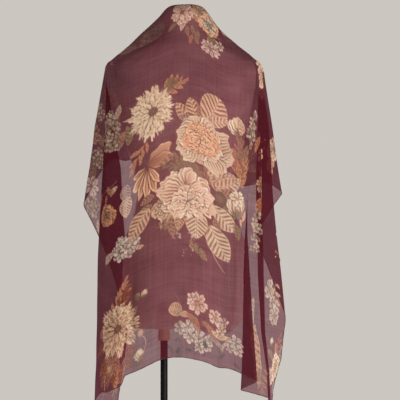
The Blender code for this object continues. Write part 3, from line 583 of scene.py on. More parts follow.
def blossom(at, radius, palette, seed, count=6, squash=1.0, eye=TAN, start=0.0, wide=0.72):
    """A small open flower."""
    rng = np.random.default_rng(seed)
    ring_of_petals(at, count, radius, radius * wide, palette, rng, squash=squash, start=start, belly=0.70,
                   blunt=0.42, veins=3.0, frill=0.06, streak=0.20, rim=0.36, jitter=0.14)
    ring_of_petals(at, max(4, count - 1), radius * 0.62, radius * wide * 0.6, palette, rng, squash=squash,
                   start=start + 30, belly=0.70, blunt=0.42, veins=2.0, frill=0.06, streak=0.20, rim=0.36, jitter=0.14)
    disc(at, radius * 0.20, radius * 0.18 * squash, eye, light=0.45, seed=seed)


def cluster(at, across, high, palette, seed, count=26, size=0.0085, turn=0.0):
    """Many small petalled flowers in a loose head."""
    rng = np.random.default_rng(seed)
    spots = []
    for k in range(count):
        r = math.sqrt((k + 0.5) / count) * rng.uniform(0.82, 1.14)
        a = k * 2.39996 + seed + rng.uniform(-0.25, 0.25)
        p, q = across * r * math.cos(a), high * r * math.sin(a)
        c, s = math.cos(math.radians(turn)), math.sin(math.radians(turn))
        spots.append((r, at[0] + p * c - q * s, at[1] + p * s + q * c))
    for r, u, v in sorted(spots, reverse=True):
        step = size * rng.uniform(0.75, 1.30)
        first = rng.uniform(0, 90)
        petals = int(rng.integers(4, 6))
        for k in range(petals):
            petal((u, v), first + 360 / petals * k + rng.uniform(-12, 12), step, step * rng.uniform(0.75, 0.95),
                  palette, belly=0.62, blunt=0.45, veins=1.0, streak=0.10, rim=0.26, seed=rng.uniform(0, 6),
                  glow=rng.uniform(-0.22, 0.22), shadow=0.42)
        disc((u, v), 0.0014, 0.0014, GREY, light=0.10, grain=0)


def spray(at, turn, length, palette, seed, blades=9, size=0.020, slim=0.30, curl=0.15, fan=50.0):
    """A stem with narrow leaves to both sides."""
    rng = np.random.default_rng(seed)
    c, s = math.cos(math.radians(turn)), math.sin(math.radians(turn))
    end = (at[0] + length * c, at[1] + length * s)
    bend = curl * length * 0.5
    stalk(at, end, bend, 0.0022, palette, light=0.35)
    for k in range(blades):
        t = (k + 0.6) / blades
        off = bend * (1 - (2 * t - 1) ** 2)
        foot = (at[0] + length * t * c - off * s, at[1] + length * t * s + off * c)
        way = fan * (1 if k % 2 else -1) * (1.1 - 0.9 * t ** 3)
        grown = size * (0.65 + 0.6 * math.sin(math.pi * min(t + 0.15, 1))) * rng.uniform(0.85, 1.15)
        leaf(foot, turn + way + rng.uniform(-9, 9), grown, grown * slim * rng.uniform(0.9, 1.2), palette,
             ribs=3.0, curl=rng.uniform(-0.12, 0.12), contrast=0.35, blunt=0.9, seed=k)


def bud(at, turn, size, palette, calyx=OLIVE, seed=0):
    for offset, wide in ((-26, 0.62), (26, 0.62), (-9, 0.66), (10, 0.60)):
        petal(at, turn + offset, size, size * wide, palette, belly=0.58, blunt=0.45, veins=2.0,
              curl=-0.006 * offset, seed=seed + offset, streak=0.22, rim=0.36)
    for offset in (-38, 0, 38):
        leaf(at, turn + offset, size * 0.45, size * 0.20, calyx, ribs=2, contrast=0.2, curl=0.0)


def berries(at, across, high, palette, seed, count=14, size=0.0016):
    rng = np.random.default_rng(seed)
    for k in range(count):
        u, v = at[0] + across * rng.uniform(-1, 1), at[1] + high * rng.uniform(-1, 1)
        disc((u, v), size * rng.uniform(0.7, 1.3), size * rng.uniform(0.7, 1.2), palette, light=0.6, grain=0)


def central_bouquet():
    # leaves, sprays and heads behind the flowers
    stalk((0.050, 0.636), (0.106, 0.716), 0.004, 0.0030, TAN, 0.80)
    stalk((0.060, 0.640), (0.088, 0.684), -0.003, 0.0018, TAN, 0.62)
    stalk((0.066, 0.645), (0.084, 0.676), 0.004, 0.0014, TAN, 0.55)
    stalk((-0.072, 0.432), (-0.020, 0.486), 0.004, 0.0015, BLUSH, 0.35)
    stalk((-0.052, 0.430), (-0.050, 0.470), 0.002, 0.0012, BLUSH, 0.35)
    for k in range(5):
        stalk((0.108 + 0.012 * k, 0.330), (0.112 + 0.013 * k, 0.286 - 0.008 * (k % 2)), 0.002, 0.0012, BARK, 0.5)
    spray((-0.064, 0.312), -26, 0.078, ORANGE, 11, blades=11, size=0.025, slim=0.40, curl=-0.30, fan=50)
    spray((-0.054, 0.302), -38, 0.045, OLIVE, 12, blades=7, size=0.018, slim=0.40, curl=-0.20, fan=44)
    cluster((-0.196, 0.352), 0.022, 0.050, GREY, 21, count=24, size=0.0105)
    leaf((-0.186, 0.316), 292, 0.034, 0.016, GREY, ribs=4)
    leaf((-0.150, 0.392), 262, 0.050, 0.022, OLIVE, ribs=5, curl=0.10)
    leaf((-0.172, 0.392), 292, 0.042, 0.018, BARK, ribs=4, curl=-0.10)
    spray((-0.098, 0.398), 122, 0.078, ORANGE, 5, blades=10, size=0.025, slim=0.32, curl=0.14, fan=34)
    # bronze lily
    for turn, length, wide in ((152, 0.044, 0.016), (126, 0.066, 0.020), (108, 0.078, 0.020), (92, 0.082, 0.022),
                               (74, 0.076, 0.020), (58, 0.058, 0.018), (-54, 0.044, 0.018)):
        petal((-0.098, 0.462), turn, length, wide, LILY, belly=0.62, blunt=0.70, veins=3, streak=0.30,
              rim=0.50, seed=turn * 0.1)
    for turn, length, wide, seed in ((-24, 0.070, 0.038, 1.0), (2, 0.068, 0.034, 2.0)):
        petal((-0.098, 0.460), turn, length, wide, LILY, belly=0.55, blunt=0.55, veins=6, streak=0.30,
              curl=-0.10, seed=seed)
    spray((0.024, 0.470), 176, 0.090, OLIVE, 8, blades=13, size=0.020, slim=0.36, curl=0.08, fan=64)
    leaf((0.036, 0.382), 222, 0.078, 0.036, STRAW, ribs=7, curl=-0.06, belly=0.52, blunt=0.62, contrast=0.75, ground=0.40)
    leaf((0.034, 0.386), 252, 0.072, 0.040, STRAW, ribs=7, curl=0.04, belly=0.55, blunt=0.60, contrast=0.75, ground=0.35)
    leaf((0.030, 0.384), 206, 0.050, 0.026, PLUM_LEAF, ribs=6, curl=0.06, contrast=0.70, ground=0.40)
    leaf((0.052, 0.384), 250, 0.056, 0.024, BARK, ribs=6, ground=0.30)
    leaf((0.058, 0.368), 294, 0.086, 0.072, TAN, ribs=7, curl=0.02, belly=0.52, blunt=0.58, serrate=0.06, contrast=0.64, ground=0.22)
    leaf((0.066, 0.366), -26, 0.060, 0.028, TAN, ribs=6, curl=-0.08, belly=0.45, contrast=0.70, ground=0.30)
    disc((0.056, 0.374), 0.012, 0.012, OLIVE, light=0.3)
    spray((0.158, 0.500), 262, 0.120, RUST, 31, blades=13, size=0.032, slim=0.32, curl=-0.06, fan=32)
    spray((0.140, 0.500), 284, 0.092, ORANGE, 32, blades=10, size=0.030, slim=0.32, curl=0.06, fan=28)
    spray((0.150, 0.430), 272, 0.050, BARK, 33, blades=7, size=0.022, slim=0.40, fan=36)
    cluster((0.186, 0.352), 0.014, 0.044, GREY, 22, count=17, size=0.0100, turn=3)
    bud((0.150, 0.366), 236, 0.044, CREAM, seed=3)
    leaf((0.150, 0.366), 262, 0.036, 0.018, TAN, ribs=4)
    # leaves between the large flowers
    for place, turn, length, wide, palette in (
            ((0.040, 0.486), 176, 0.046, 0.024, OLIVE), ((0.038, 0.482), 150, 0.040, 0.020, OLIVE),
            ((0.044, 0.490), 108, 0.044, 0.026, OLIVE), ((0.008, 0.490), 186, 0.040, 0.020, OLIVE),
            ((0.052, 0.476), 40, 0.056, 0.034, BARK)):
        leaf(place, turn, length, wide, palette, ribs=6, contrast=0.40, ground=0.35)
    leaf((0.060, 0.492), -16, 0.080, 0.044, TAN, ribs=7, curl=0.05, contrast=0.55, ground=0.20)
    leaf((0.064, 0.502), 14, 0.070, 0.038, STRAW, ribs=7, curl=-0.05, contrast=0.60, ground=0.20)
    leaf((0.104, 0.476), 12, 0.044, 0.026, ROSY, ribs=6, curl=0.05, contrast=0.60, ground=0.25)
    spray((0.030, 0.484), 182, 0.076, OLIVE, 35, blades=11, size=0.022, slim=0.34, curl=-0.06, fan=58)
    leaf((0.080, 0.512), -30, 0.080, 0.040, TAN, ribs=7, curl=0.06, contrast=0.52, ground=0.20)
    leaf((0.092, 0.520), -6, 0.066, 0.034, BARK, ribs=8, contrast=0.70, ground=0.25)
    leaf((0.104, 0.556), -58, 0.052, 0.030, OLIVE, ribs=6, contrast=0.30)
    disc((0.094, 0.536), 0.017, 0.019, OLIVE, light=0.42, grain=0.3)
    leaf((0.078, 0.575), -4, 0.060, 0.030, BARK, ribs=8, curl=-0.05, contrast=0.70, ground=0.25)
    leaf((0.076, 0.560), 36, 0.076, 0.048, OAT, ribs=7, curl=0.04, belly=0.48, blunt=0.74, serrate=0.06, contrast=0.58, ground=0.10)
    leaf((0.078, 0.590), 56, 0.040, 0.020, BARK, ribs=6, contrast=0.60)
    leaf((-0.030, 0.592), 112, 0.046, 0.026, TAN, ribs=7, contrast=0.45)
    leaf((-0.012, 0.592), 98, 0.062, 0.026, OLIVE, ribs=7, contrast=0.45)
    leaf((-0.030, 0.600), 88, 0.058, 0.022, BARK, ribs=6)
    leaf((-0.086, 0.560), 146, 0.048, 0.022, OLIVE, ribs=5)
    leaf((-0.080, 0.540), 160, 0.040, 0.020, BARK, ribs=5)
    leaf((-0.094, 0.566), 128, 0.084, 0.048, TAN, ribs=8, contrast=0.56, curl=0.05, ground=0.15)
    leaf((0.068, 0.613), 55, 0.086, 0.064, OAT, ribs=8, curl=0.03, belly=0.46, blunt=0.74, serrate=0.06, contrast=0.60, ground=0.10)
    leaf((0.028, 0.580), 88, 0.078, 0.060, OAT, ribs=8, curl=-0.03, belly=0.48, blunt=0.70, serrate=0.06, contrast=0.58, ground=0.10)
    leaf((-0.004, 0.590), 104, 0.054, 0.030, STRAW, ribs=7, curl=0.04, contrast=0.55, ground=0.20)
    leaf((-0.058, 0.600), 96, 0.034, 0.007, BLUSH, ribs=3)
    spray((-0.040, 0.622), 178, 0.030, OLIVE, 9, blades=5, size=0.016, slim=0.4)
    leaf((0.028, 0.668), 60, 0.032, 0.014, OLIVE, ribs=4, serrate=0.3)
    leaf((0.040, 0.678), 52, 0.034, 0.017, OLIVE, ribs=4, serrate=0.3)
    leaf((0.020, 0.664), 84, 0.026, 0.011, OLIVE, ribs=3)
    leaf((-0.134, 0.646), 12, 0.028, 0.012, TAN, ribs=3)
    berries((-0.002, 0.656), 0.030, 0.010, PALE, 41, count=17, size=0.0029)
    berries((0.012, 0.690), 0.020, 0.014, PALE, 42, count=9, size=0.0023)
    # the three large flowers, the small ones and the bright bud
    chrysanthemum((-0.084, 0.332), 0.057, CREAM, 71, squash=1.0, lean=0.14, lean_turn=150, eye=OLIVE, eye_size=0.24)
    rose((0.052, 0.420), 0.078, OAT, AMBER, 72, squash=0.80, heart=(-0.010, -0.006), open_turn=22)
    rose((-0.058, 0.580), 0.031, STRAW, STRAW, 75, squash=0.85)
    peony((0.004, 0.552), 0.076, WARM_CREAM, 73, squash=0.74, heart=(0.004, 0.018))
    for turn, length, wide in ((-110, 0.040, 0.030), (-82, 0.044, 0.034), (-60, 0.040, 0.028)):
        petal((0.006, 0.530), turn, length, wide, WARM_CREAM, veins=6, seed=turn, streak=0.16, rim=0.44)
    spray((0.154, 0.600), 266, 0.070, PEACH, 34, blades=6, size=0.028, slim=0.36, fan=24)
    bud((0.142, 0.572), 262, 0.052, WARM_CREAM, seed=8)
    blossom((0.140, 0.524), 0.020, CREAM, 79, count=6, squash=1.1, eye=PEACH)
    leaf((0.146, 0.628), 250, 0.044, 0.022, OLIVE, ribs=5, contrast=0.3)


def neck_flowers():
    for place, turn, length, wide, palette in (
            ((-0.052, 0.132), 168, 0.080, 0.034, DUSK), ((-0.070, 0.120), 150, 0.056, 0.024, DUSK),
            ((-0.060, 0.146), 190, 0.056, 0.026, DUSK), ((-0.118, 0.130), 158, 0.064, 0.028, DUSK),
            ((-0.130, 0.152), 172, 0.052, 0.022, BARK), ((-0.110, 0.152), 198, 0.046, 0.020, DUSK)):
        leaf(place, turn, length, wide, palette, ribs=6, contrast=0.22, ground=0.35)
    for k, place in enumerate(((-0.158, 0.142), (-0.176, 0.152), (-0.190, 0.150))):
        petal(place, 175 + 20 * k, 0.026, 0.014, PEACH, seed=k)
    for place, turn, length, palette in (((0.004, 0.128), 118, 0.030, BLUSH), ((0.008, 0.140), 84, 0.028, BARK),
                                         ((0.018, 0.138), 62, 0.026, OLIVE), ((-0.022, 0.134), 140, 0.026, OLIVE),
                                         ((0.022, 0.160), 104, 0.026, RUST), ((0.028, 0.162), 62, 0.024, RUST),
                                         ((0.036, 0.150), 90, 0.030, OLIVE)):
        leaf(place, turn, length, length * 0.42, palette, ribs=4, contrast=0.3)
    leaf((0.058, 0.146), 20, 0.036, 0.018, OLIVE, ribs=4)
    leaf((0.066, 0.152), 84, 0.026, 0.012, BARK, ribs=3)
    rose((0.040, 0.104), 0.026, ORANGE, PEACH, 81, squash=1.0)
    rose((0.064, 0.126), 0.026, PEACH, WARM_CREAM, 80, squash=1.0)
    blossom((-0.006, 0.108), 0.029, ROSY, 82, count=7, eye=BARK, wide=0.85)
    blossom((0.068, 0.181), 0.025, BLUSH, 83, count=13, squash=0.72, eye=GREY, wide=0.36)
    blossom((0.092, 0.160), 0.013, BLUSH, 84, count=5, eye=BARK)
    leaf((0.096, 0.116), 10, 0.030, 0.014, TAN, ribs=4)
    leaf((0.104, 0.128), 20, 0.026, 0.012, DUSK, ribs=4, contrast=0.3)
    for k in range(5):
        petal((0.226, 0.166 + 0.012 * k), 196 - 22 * k, 0.038 - 0.002 * k, 0.024, WARM_CREAM, seed=k * 1.3, veins=5)
    blossom((0.226, 0.174), 0.025, BLUSH, 85, count=8, eye=TAN)
    leaf((0.236, 0.222), 70, 0.042, 0.018, TAN, ribs=4)


def side_flowers():
    # left border
    leaf((-0.276, 0.235), 140, 0.052, 0.024, BARK, ribs=6, ground=0.3)
    cluster((-0.296, 0.262), 0.020, 0.026, GREY, 23, count=11, size=0.0095)
    leaf((-0.318, 0.270), 112, 0.052, 0.022, OLIVE, ribs=6, ground=0.3)
    leaf((-0.330, 0.300), 85, 0.046, 0.020, BARK, ribs=6, ground=0.3)
    blossom((-0.346, 0.300), 0.026, BARK, 86, count=7)
    leaf((-0.350, 0.330), 96, 0.060, 0.024, BARK, ribs=7, ground=0.4)
    leaf((-0.372, 0.340), 122, 0.056, 0.024, OLIVE, ribs=7, ground=0.4)
    cluster((-0.362, 0.356), 0.020, 0.024, GREY, 24, count=11, size=0.0090)
    leaf((-0.396, 0.372), 160, 0.042, 0.018, BARK, ribs=5)
    blossom((-0.424, 0.398), 0.026, BLUSH, 87, count=8, eye=GREY, wide=0.50)
    cluster((-0.450, 0.440), 0.020, 0.024, GREY, 25, count=9, size=0.0100)
    stalk((-0.440, 0.430), (-0.470, 0.500), 0.006, 0.0014, GREY, 0.7)
    stalk((-0.452, 0.430), (-0.474, 0.470), -0.004, 0.0014, GREY, 0.7)
    leaf((-0.452, 0.476), 118, 0.036, 0.012, BLUSH, ribs=4, ground=0.3)
    stalk((-0.182, 0.470), (-0.236, 0.500), -0.004, 0.0014, TAN, 0.6)
    stalk((-0.205, 0.500), (-0.212, 0.528), 0.002, 0.0014, RUST, 0.6)
    leaf((-0.180, 0.482), 128, 0.030, 0.012, TAN, ribs=3)
    leaf((-0.206, 0.480), 60, 0.026, 0.012, BARK, ribs=3)
    leaf((-0.236, 0.490), 110, 0.034, 0.014, RUST, ribs=3)
    rose((-0.212, 0.548), 0.027, ORANGE, RUST, 88, squash=1.05)
    leaf((-0.216, 0.522), -78, 0.022, 0.009, RUST, ribs=3)
    berries((-0.225, 0.480), 0.030, 0.020, RUST, 43, count=9, size=0.0020)
    cluster((-0.158, 0.640), 0.033, 0.023, PALE, 26, count=26, size=0.0105)
    leaf((-0.156, 0.486), 84, 0.046, 0.030, CHALK, ribs=7, contrast=0.30, ground=0.60)
    leaf((-0.150, 0.516), 96, 0.052, 0.034, CREAM, ribs=8, contrast=0.30, ground=0.60)
    leaf((-0.190, 0.640), 128, 0.036, 0.016, CHALK, ribs=4)
    # right border
    leaf((0.238, 0.340), 70, 0.040, 0.016, BARK, ribs=4)
    leaf((0.228, 0.360), 110, 0.046, 0.016, RUST, ribs=5)
    berries((0.245, 0.370), 0.026, 0.030, RUST, 44, count=12, size=0.0024)
    blossom((0.258, 0.398), 0.016, PEACH, 89, count=5)
    leaf((0.252, 0.420), 96, 0.034, 0.014, BARK, ribs=4)
    for k in range(4):
        leaf((0.372 + 0.004 * k, 0.268 + 0.022 * k), 64 - 14 * k, 0.038, 0.018, TAN, ribs=4, seed=k)
    peony((0.380, 0.300), 0.026, TAN, 90, squash=1.1)
    leaf((0.238, 0.452), 60, 0.050, 0.024, RUST, ribs=5)
    leaf((0.262, 0.470), 96, 0.040, 0.020, BARK, ribs=5)
    blossom((0.246, 0.470), 0.018, BARK, 78, count=6)
    leaf((0.246, 0.500), 84, 0.046, 0.018, RUST, ribs=5)
    cluster((0.246, 0.585), 0.014, 0.044, GREY, 27, count=11, size=0.0085)
    stalk((0.240, 0.560), (0.252, 0.640), 0.004, 0.0015, TAN, 0.5)
    berries((0.389, 0.612), 0.008, 0.010, PEACH, 47, count=4, size=0.0030)
    blossom((0.378, 0.694), 0.022, CHALK, 91, count=6)
    spray((0.404, 0.676), 72, 0.075, TAN, 18, blades=9, size=0.026, slim=0.30)
    blossom((0.398, 0.724), 0.018, CHALK, 92, count=5)
    blossom((0.412, 0.752), 0.024, CHALK, 93, count=7)
    leaf((0.256, 0.730), 84, 0.080, 0.018, CHALK, ribs=9, contrast=0.45)
    leaf((0.266, 0.790), 80, 0.090, 0.024, STRAW, ribs=8, contrast=0.55)
    leaf((0.274, 0.812), 78, 0.086, 0.026, STRAW, ribs=6, contrast=0.45)
    leaf((0.282, 0.856), 82, 0.078, 0.026, STRAW, ribs=6, contrast=0.40)
    spray((0.298, 0.884), 88, 0.060, BARK, 19, blades=9, size=0.022, slim=0.34)
    leaf((0.366, 0.820), 96, 0.080, 0.024, RUST, ribs=8)
    leaf((0.372, 0.870), 100, 0.060, 0.024, RUST, ribs=6)


def lower_flowers():
    # left corner of the back
    spray((-0.186, 0.790), 292, 0.074, ORANGE, 51, blades=12, size=0.026, slim=0.32, fan=34)
    spray((-0.176, 0.776), 306, 0.046, EMBER, 52, blades=8, size=0.020, slim=0.34, fan=34)
    leaf((-0.190, 0.885), 128, 0.066, 0.028, EMBER, ribs=7, ground=0.2)
    leaf((-0.176, 0.886), 104, 0.056, 0.024, EMBER, ribs=7)
    leaf((-0.206, 0.886), 150, 0.060, 0.024, EMBER, ribs=7, ground=0.2)
    leaf((-0.150, 0.876), 66, 0.046, 0.026, EMBER, ribs=6)
    leaf((-0.196, 0.900), 118, 0.056, 0.020, ORANGE, ribs=6, contrast=0.4, ground=0.5)
    leaf((-0.178, 0.912), 96, 0.044, 0.016, ORANGE, ribs=5, contrast=0.4, ground=0.3)
    leaf((-0.228, 0.860), 182, 0.050, 0.020, EMBER, ribs=6)
    leaf((-0.160, 0.905), 96, 0.044, 0.018, BARK, ribs=6)
    for k in range(6):
        leaf((-0.205 + 0.012 * k, 0.905 + 0.006 * (k % 2)), 150 - 22 * k, 0.040, 0.015, EMBER,
             ribs=5, seed=k, ground=0.2 * (k % 3))
    for place, turn, length, palette in (((-0.146, 0.892), 20, 0.040, EMBER), ((-0.128, 0.904), 40, 0.036, DUSK),
                                         ((-0.104, 0.936), 172, 0.036, DUSK), ((-0.140, 0.916), 66, 0.030, DUSK)):
        leaf(place, turn, length, length * 0.45, palette, ribs=5, ground=0.3)
    stalk((-0.126, 0.862), (-0.112, 0.915), -0.016, 0.0020, TAN, 0.8, 0.1)
    bud((-0.112, 0.926), 230, 0.028, CREAM, calyx=BARK, seed=4)
    disc((-0.136, 0.862), 0.010, 0.009, GREY, light=0.4)
    disc((-0.118, 0.862), 0.010, 0.010, TAN, light=0.6, grain=0.2)
    chrysanthemum((-0.178, 0.826), 0.053, STRAW, 94, squash=1.06, lean=0.08, lean_turn=120, eye=BARK)
    bud((-0.124, 0.780), 262, 0.018, OLIVE, seed=1)
    bud((-0.106, 0.780), 268, 0.019, CREAM, seed=2)
    # middle
    for k, (u, v, size) in enumerate(((-0.012, 0.878, 0.017), (0.010, 0.874, 0.019), (0.018, 0.898, 0.020),
                                      (0.040, 0.896, 0.019), (0.040, 0.916, 0.018), (0.058, 0.908, 0.016),
                                      (0.066, 0.892, 0.013))):
        blossom((u, v), size, CHALK, 130 + k, count=5 + k % 2, eye=GREY, start=20 * k, wide=0.66)
    for k, (u, v, size) in enumerate(((0.116, 0.884, 0.014), (0.132, 0.880, 0.017), (0.136, 0.898, 0.014),
                                      (0.118, 0.900, 0.010))):
        blossom((u, v), size, CHALK, 140 + k, count=5, eye=GREY, start=30 * k, wide=0.66)
    for k in range(5):
        leaf((0.070 + 0.010 * k, 0.886 + 0.003 * (k % 2)), 30 * k, 0.020, 0.009, GREY, ribs=3, ground=0.3)
    berries((-0.022, 0.905), 0.016, 0.010, DARK_BERRY, 45, count=6, size=0.0026)
    berries((0.072, 0.925), 0.036, 0.014, DARK_BERRY, 46, count=7, size=0.0024)
    berries((0.030, 0.928), 0.070, 0.010, DARK_BERRY, 48, count=12, size=0.0030)
    for k in range(6):
        leaf((-0.046 + 0.034 * k, 0.918 + 0.007 * (k % 3)), 40 + 70 * k, 0.020, 0.009, DARK_BERRY, ribs=3, ground=0.5)
    stalk((-0.006, 0.838), (-0.026, 0.794), 0.003, 0.0018, TAN, 0.6)
    stalk((-0.010, 0.836), (0.100, 0.872), 0.008, 0.0030, RUST, 0.45)
    leaf((-0.008, 0.840), 194, 0.036, 0.034, TAN, ribs=6, blunt=0.5, contrast=0.5)
    leaf((0.014, 0.846), 176, 0.028, 0.016, TAN, ribs=5)
    for k in range(7):
        leaf((0.004 + 0.014 * k, 0.842 + 0.004 * k), 16 + 30 * (k % 3), 0.034, 0.014, BARK if k % 2 else RUST, ribs=5,
             contrast=0.4)
    leaf((0.070, 0.868), 4, 0.046, 0.016, TAN, ribs=6)
    blossom((0.034, 0.814), 0.026, ROSY, 95, count=8, eye=PEACH, wide=0.56)
    blossom((0.020, 0.802), 0.013, BLUSH, 99, count=5, eye=PEACH)
    blossom((0.080, 0.832), 0.018, ROSY, 96, count=6, eye=PEACH)
    blossom((0.102, 0.836), 0.014, BLUSH, 97, count=5, eye=PEACH)
    blossom((0.096, 0.856), 0.014, WARM_CREAM, 98, count=5, eye=PEACH)


def bouquet(at, size, seed, turn=0.0):
    """A smaller gathering of the same flowers for the parts that hang at the
    front and inside the folds."""
    rng = np.random.default_rng(seed)

    def place(radius, angle):
        a = math.radians(angle + turn)
        return at[0] + size * radius * math.cos(a), at[1] + size * radius * math.sin(a)

    for k in range(8):
        a = k * 45 + rng.uniform(-15, 15)
        leaf(place(0.42, a), a + turn + rng.uniform(-25, 25), size * rng.uniform(0.5, 0.75), size * 0.30,
             (TAN, OLIVE, BARK, ORANGE)[int(rng.integers(4))], ribs=7, contrast=0.6, seed=k)
    for k in range(3):
        a = 30 + k * 120 + rng.uniform(-20, 20)
        spray(place(0.5, a), a + turn, size * 0.8, (ORANGE, RUST, OLIVE)[k], seed + k, blades=8, size=size * 0.32)
    cluster(place(0.75, 200), size * 0.36, size * 0.30, GREY, seed, count=18, size=size * 0.10)
    peony(place(0.55, 20), size * 0.40, BLUSH, seed + 5, squash=0.9)
    blossom(place(0.85, 300), size * 0.26, CHALK, seed + 6, count=7)
    if seed % 2:
        rose(at, size * 0.55, WARM_CREAM, PEACH, seed + 7)
    else:
        chrysanthemum(at, size * 0.55, CREAM, seed + 7)
    bud(place(0.9, 120), 120 + turn, size * 0.34, CREAM, seed=seed)


def make_print():
    for at, size, seed, turn in (((-0.330, 0.085), 0.085, 101, 20), ((0.330, 0.080), 0.085, 102, 150),
                                 ((-0.140, 0.045), 0.040, 103, 0), ((0.160, 0.045), 0.045, 104, 60),
                                 ((-0.400, 0.840), 0.080, 106, 210),
                                 ((0.440, 0.870), 0.060, 109, 120),
                                 ((0.420, 0.170), 0.050, 111, 240), ((-0.430, 0.210), 0.050, 112, 40)):
        bouquet(at, size, seed, turn)
    side_flowers()
    neck_flowers()
    central_bouquet()
    lower_flowers()


make_print()


# --------------------------------------------------------------------------
# The scarf as a fine sheet
# --------------------------------------------------------------------------
STEP = 0.0017
COUNT = int(round(SCARF / STEP)) + 1

# Creases pressed or hung into the cloth: where each starts and ends on the
# flat square, its width, how far it stands out (+) or in (-), all in metres
CREASES = (
    # (u0, v0, u1, v1, width, height)
    (-0.140, 0.660, -0.138, 0.940, 0.010, -0.0040),
    (-0.098, 0.600, -0.086, 0.930, 0.014, 0.0035),
    (-0.070, 0.690, -0.064, 0.940, 0.008, -0.0030),
    (-0.030, 0.640, -0.034, 0.930, 0.012, 0.0025),
    (0.036, 0.640, 0.038, 0.760, 0.004, -0.0030),
    (0.044, 0.700, 0.050, 0.930, 0.013, 0.0035),
    (0.096, 0.620, 0.104, 0.900, 0.015, -0.0035),
    (0.136, 0.480, 0.150, 0.900, 0.010, 0.0030),
    (-0.060, 0.150, -0.170, 0.232, 0.010, 0.0020),
    (0.070, 0.160, 0.165, 0.226, 0.010, 0.0020),
    (0.004, 0.120, 0.002, 0.330, 0.006, 0.0012),
    (0.008, 0.690, 0.010, 0.800, 0.003, -0.0022),
    (-0.178, 0.476, -0.132, 0.470, 0.0024, 0.0010),
    (-0.174, 0.489, -0.128, 0.486, 0.0020, -0.0010),
    (-0.176, 0.502, -0.130, 0.497, 0.0024, 0.0011),
    (-0.172, 0.514, -0.130, 0.512, 0.0020, -0.0009),
    (-0.174, 0.527, -0.126, 0.523, 0.0026, 0.0012),
    (-0.174, 0.541, -0.130, 0.539, 0.0022, -0.0010),
    (-0.172, 0.553, -0.134, 0.549, 0.0024, 0.0010),
    (0.170, 0.470, 0.222, 0.476, 0.0026, 0.0010),
    (0.172, 0.520, 0.226, 0.523, 0.0026, -0.0010),
    (0.174, 0.640, 0.236, 0.634, 0.0026, 0.0012),
    (0.176, 0.712, 0.250, 0.716, 0.0030, 0.0012),
    (0.360, 0.560, 0.430, 0.566, 0.0030, -0.0012),
    (0.372, 0.622, 0.440, 0.624, 0.0030, 0.0012),
    (0.380, 0.690, 0.450, 0.698, 0.0030, -0.0012),
    (-0.440, 0.420, -0.395, 0.455, 0.0026, 0.0012),
    (-0.455, 0.446, -0.410, 0.480, 0.0026, -0.0012),
    (-0.030, 0.130, -0.034, 0.300, 0.007, -0.0010),
    (0.078, 0.158, 0.198, 0.192, 0.0055, 0.0040),
    (-0.040, 0.158, -0.194, 0.188, 0.0060, 0.0040),
)


def crease_height(u, v):
    total = np.zeros(u.shape)
    for u0, v0, u1, v1, width, height in CREASES:
        run = math.hypot(u1 - u0, v1 - v0)
        a, b = (u1 - u0) / run, (v1 - v0) / run
        s = ((u - u0) * a + (v - v0) * b) / run
        side = (v - v0) * a - (u - u0) * b + 0.0025 * np.sin(s * 9 + u0 * 40)
        taper = np.clip(np.sin(math.pi * np.clip(s, 0, 1)), 0, 1) ** 0.7
        total += height * taper * np.exp(-(side / width) ** 2)
    return total


def ripple(u, v):
    """Slack of a thin cloth: long soft swells and short cross wrinkles."""
    swell = (np.sin(17 * u + 5 * v + 0.4) * np.sin(9 * v - 4 * u + 1.2)
             + 0.6 * np.sin(31 * u - 7 * v + 2.2) * np.sin(14 * v + 3 * u))
    short = np.sin(74 * v + 16 * np.sin(6 * u) + 1.0) * np.sin(21 * u + 8 * v + 0.7) ** 2
    return 0.0008 * swell + 0.00028 * short


def smooth_sheet(p, passes, weight=None):
    """Average every point with its neighbours; the edges only along themselves."""
    share = 0.6 if weight is None else 0.6 * weight[..., None]
    for _ in range(passes):
        q = p.copy()
        q[1:-1, 1:-1] = (p[:-2, 1:-1] + p[2:, 1:-1] + p[1:-1, :-2] + p[1:-1, 2:]) / 4
        q[0, 1:-1] = (p[0, :-2] + p[0, 2:]) / 2
        q[-1, 1:-1] = (p[-1, :-2] + p[-1, 2:]) / 2
        q[1:-1, 0] = (p[:-2, 0] + p[2:, 0]) / 2
        q[1:-1, -1] = (p[:-2, -1] + p[2:, -1]) / 2
        p = p + (q - p) * share
    return p


def sheet_normals(p):
    du, dv = np.gradient(p, axis=1), np.gradient(p, axis=0)
    n = np.cross(dv, du)
    return n / np.maximum(np.linalg.norm(n, axis=-1, keepdims=True), 1e-12)


def drape():
    """Flat coordinates and points of the draped sheet."""
    u, v = np.meshgrid(np.linspace(-SCARF / 2, SCARF / 2, COUNT), np.linspace(0, SCARF, COUNT))
    p = scarf(u, v)
    near = np.zeros(u.shape)
    for side in (-1, 1):
        d = np.hypot(u - side * SIDES[side]["flat"], np.clip(np.abs(v - TIP_FALL) - TIP_HALF, 0, None))
        near = np.maximum(near, ease(1.6 - d / 0.006))
    p = smooth_sheet(p, 3)
    r0, r1 = int(0.10 / STEP), int(0.24 / STEP)
    for c0, c1 in ((int(0.225 / STEP), int(0.31 / STEP)), (int(0.63 / STEP), int(0.72 / STEP))):
        p[r0:r1, c0:c1] = smooth_sheet(p[r0:r1, c0:c1], 10 if STEP < 0.002 else 4, near[r0:r1, c0:c1])
    n = sheet_normals(p)
    away = ease(np.min([np.hypot(u - s * SIDES[s]["flat"], v - TIP_FALL) for s in (-1, 1)], axis=0) / 0.09 - 0.2)
    p = p + n * ((1.4 * crease_height(u, v) + ripple(u, v)) * away)[..., None]
    return u, v, p + (FORM_X, 0, 0)


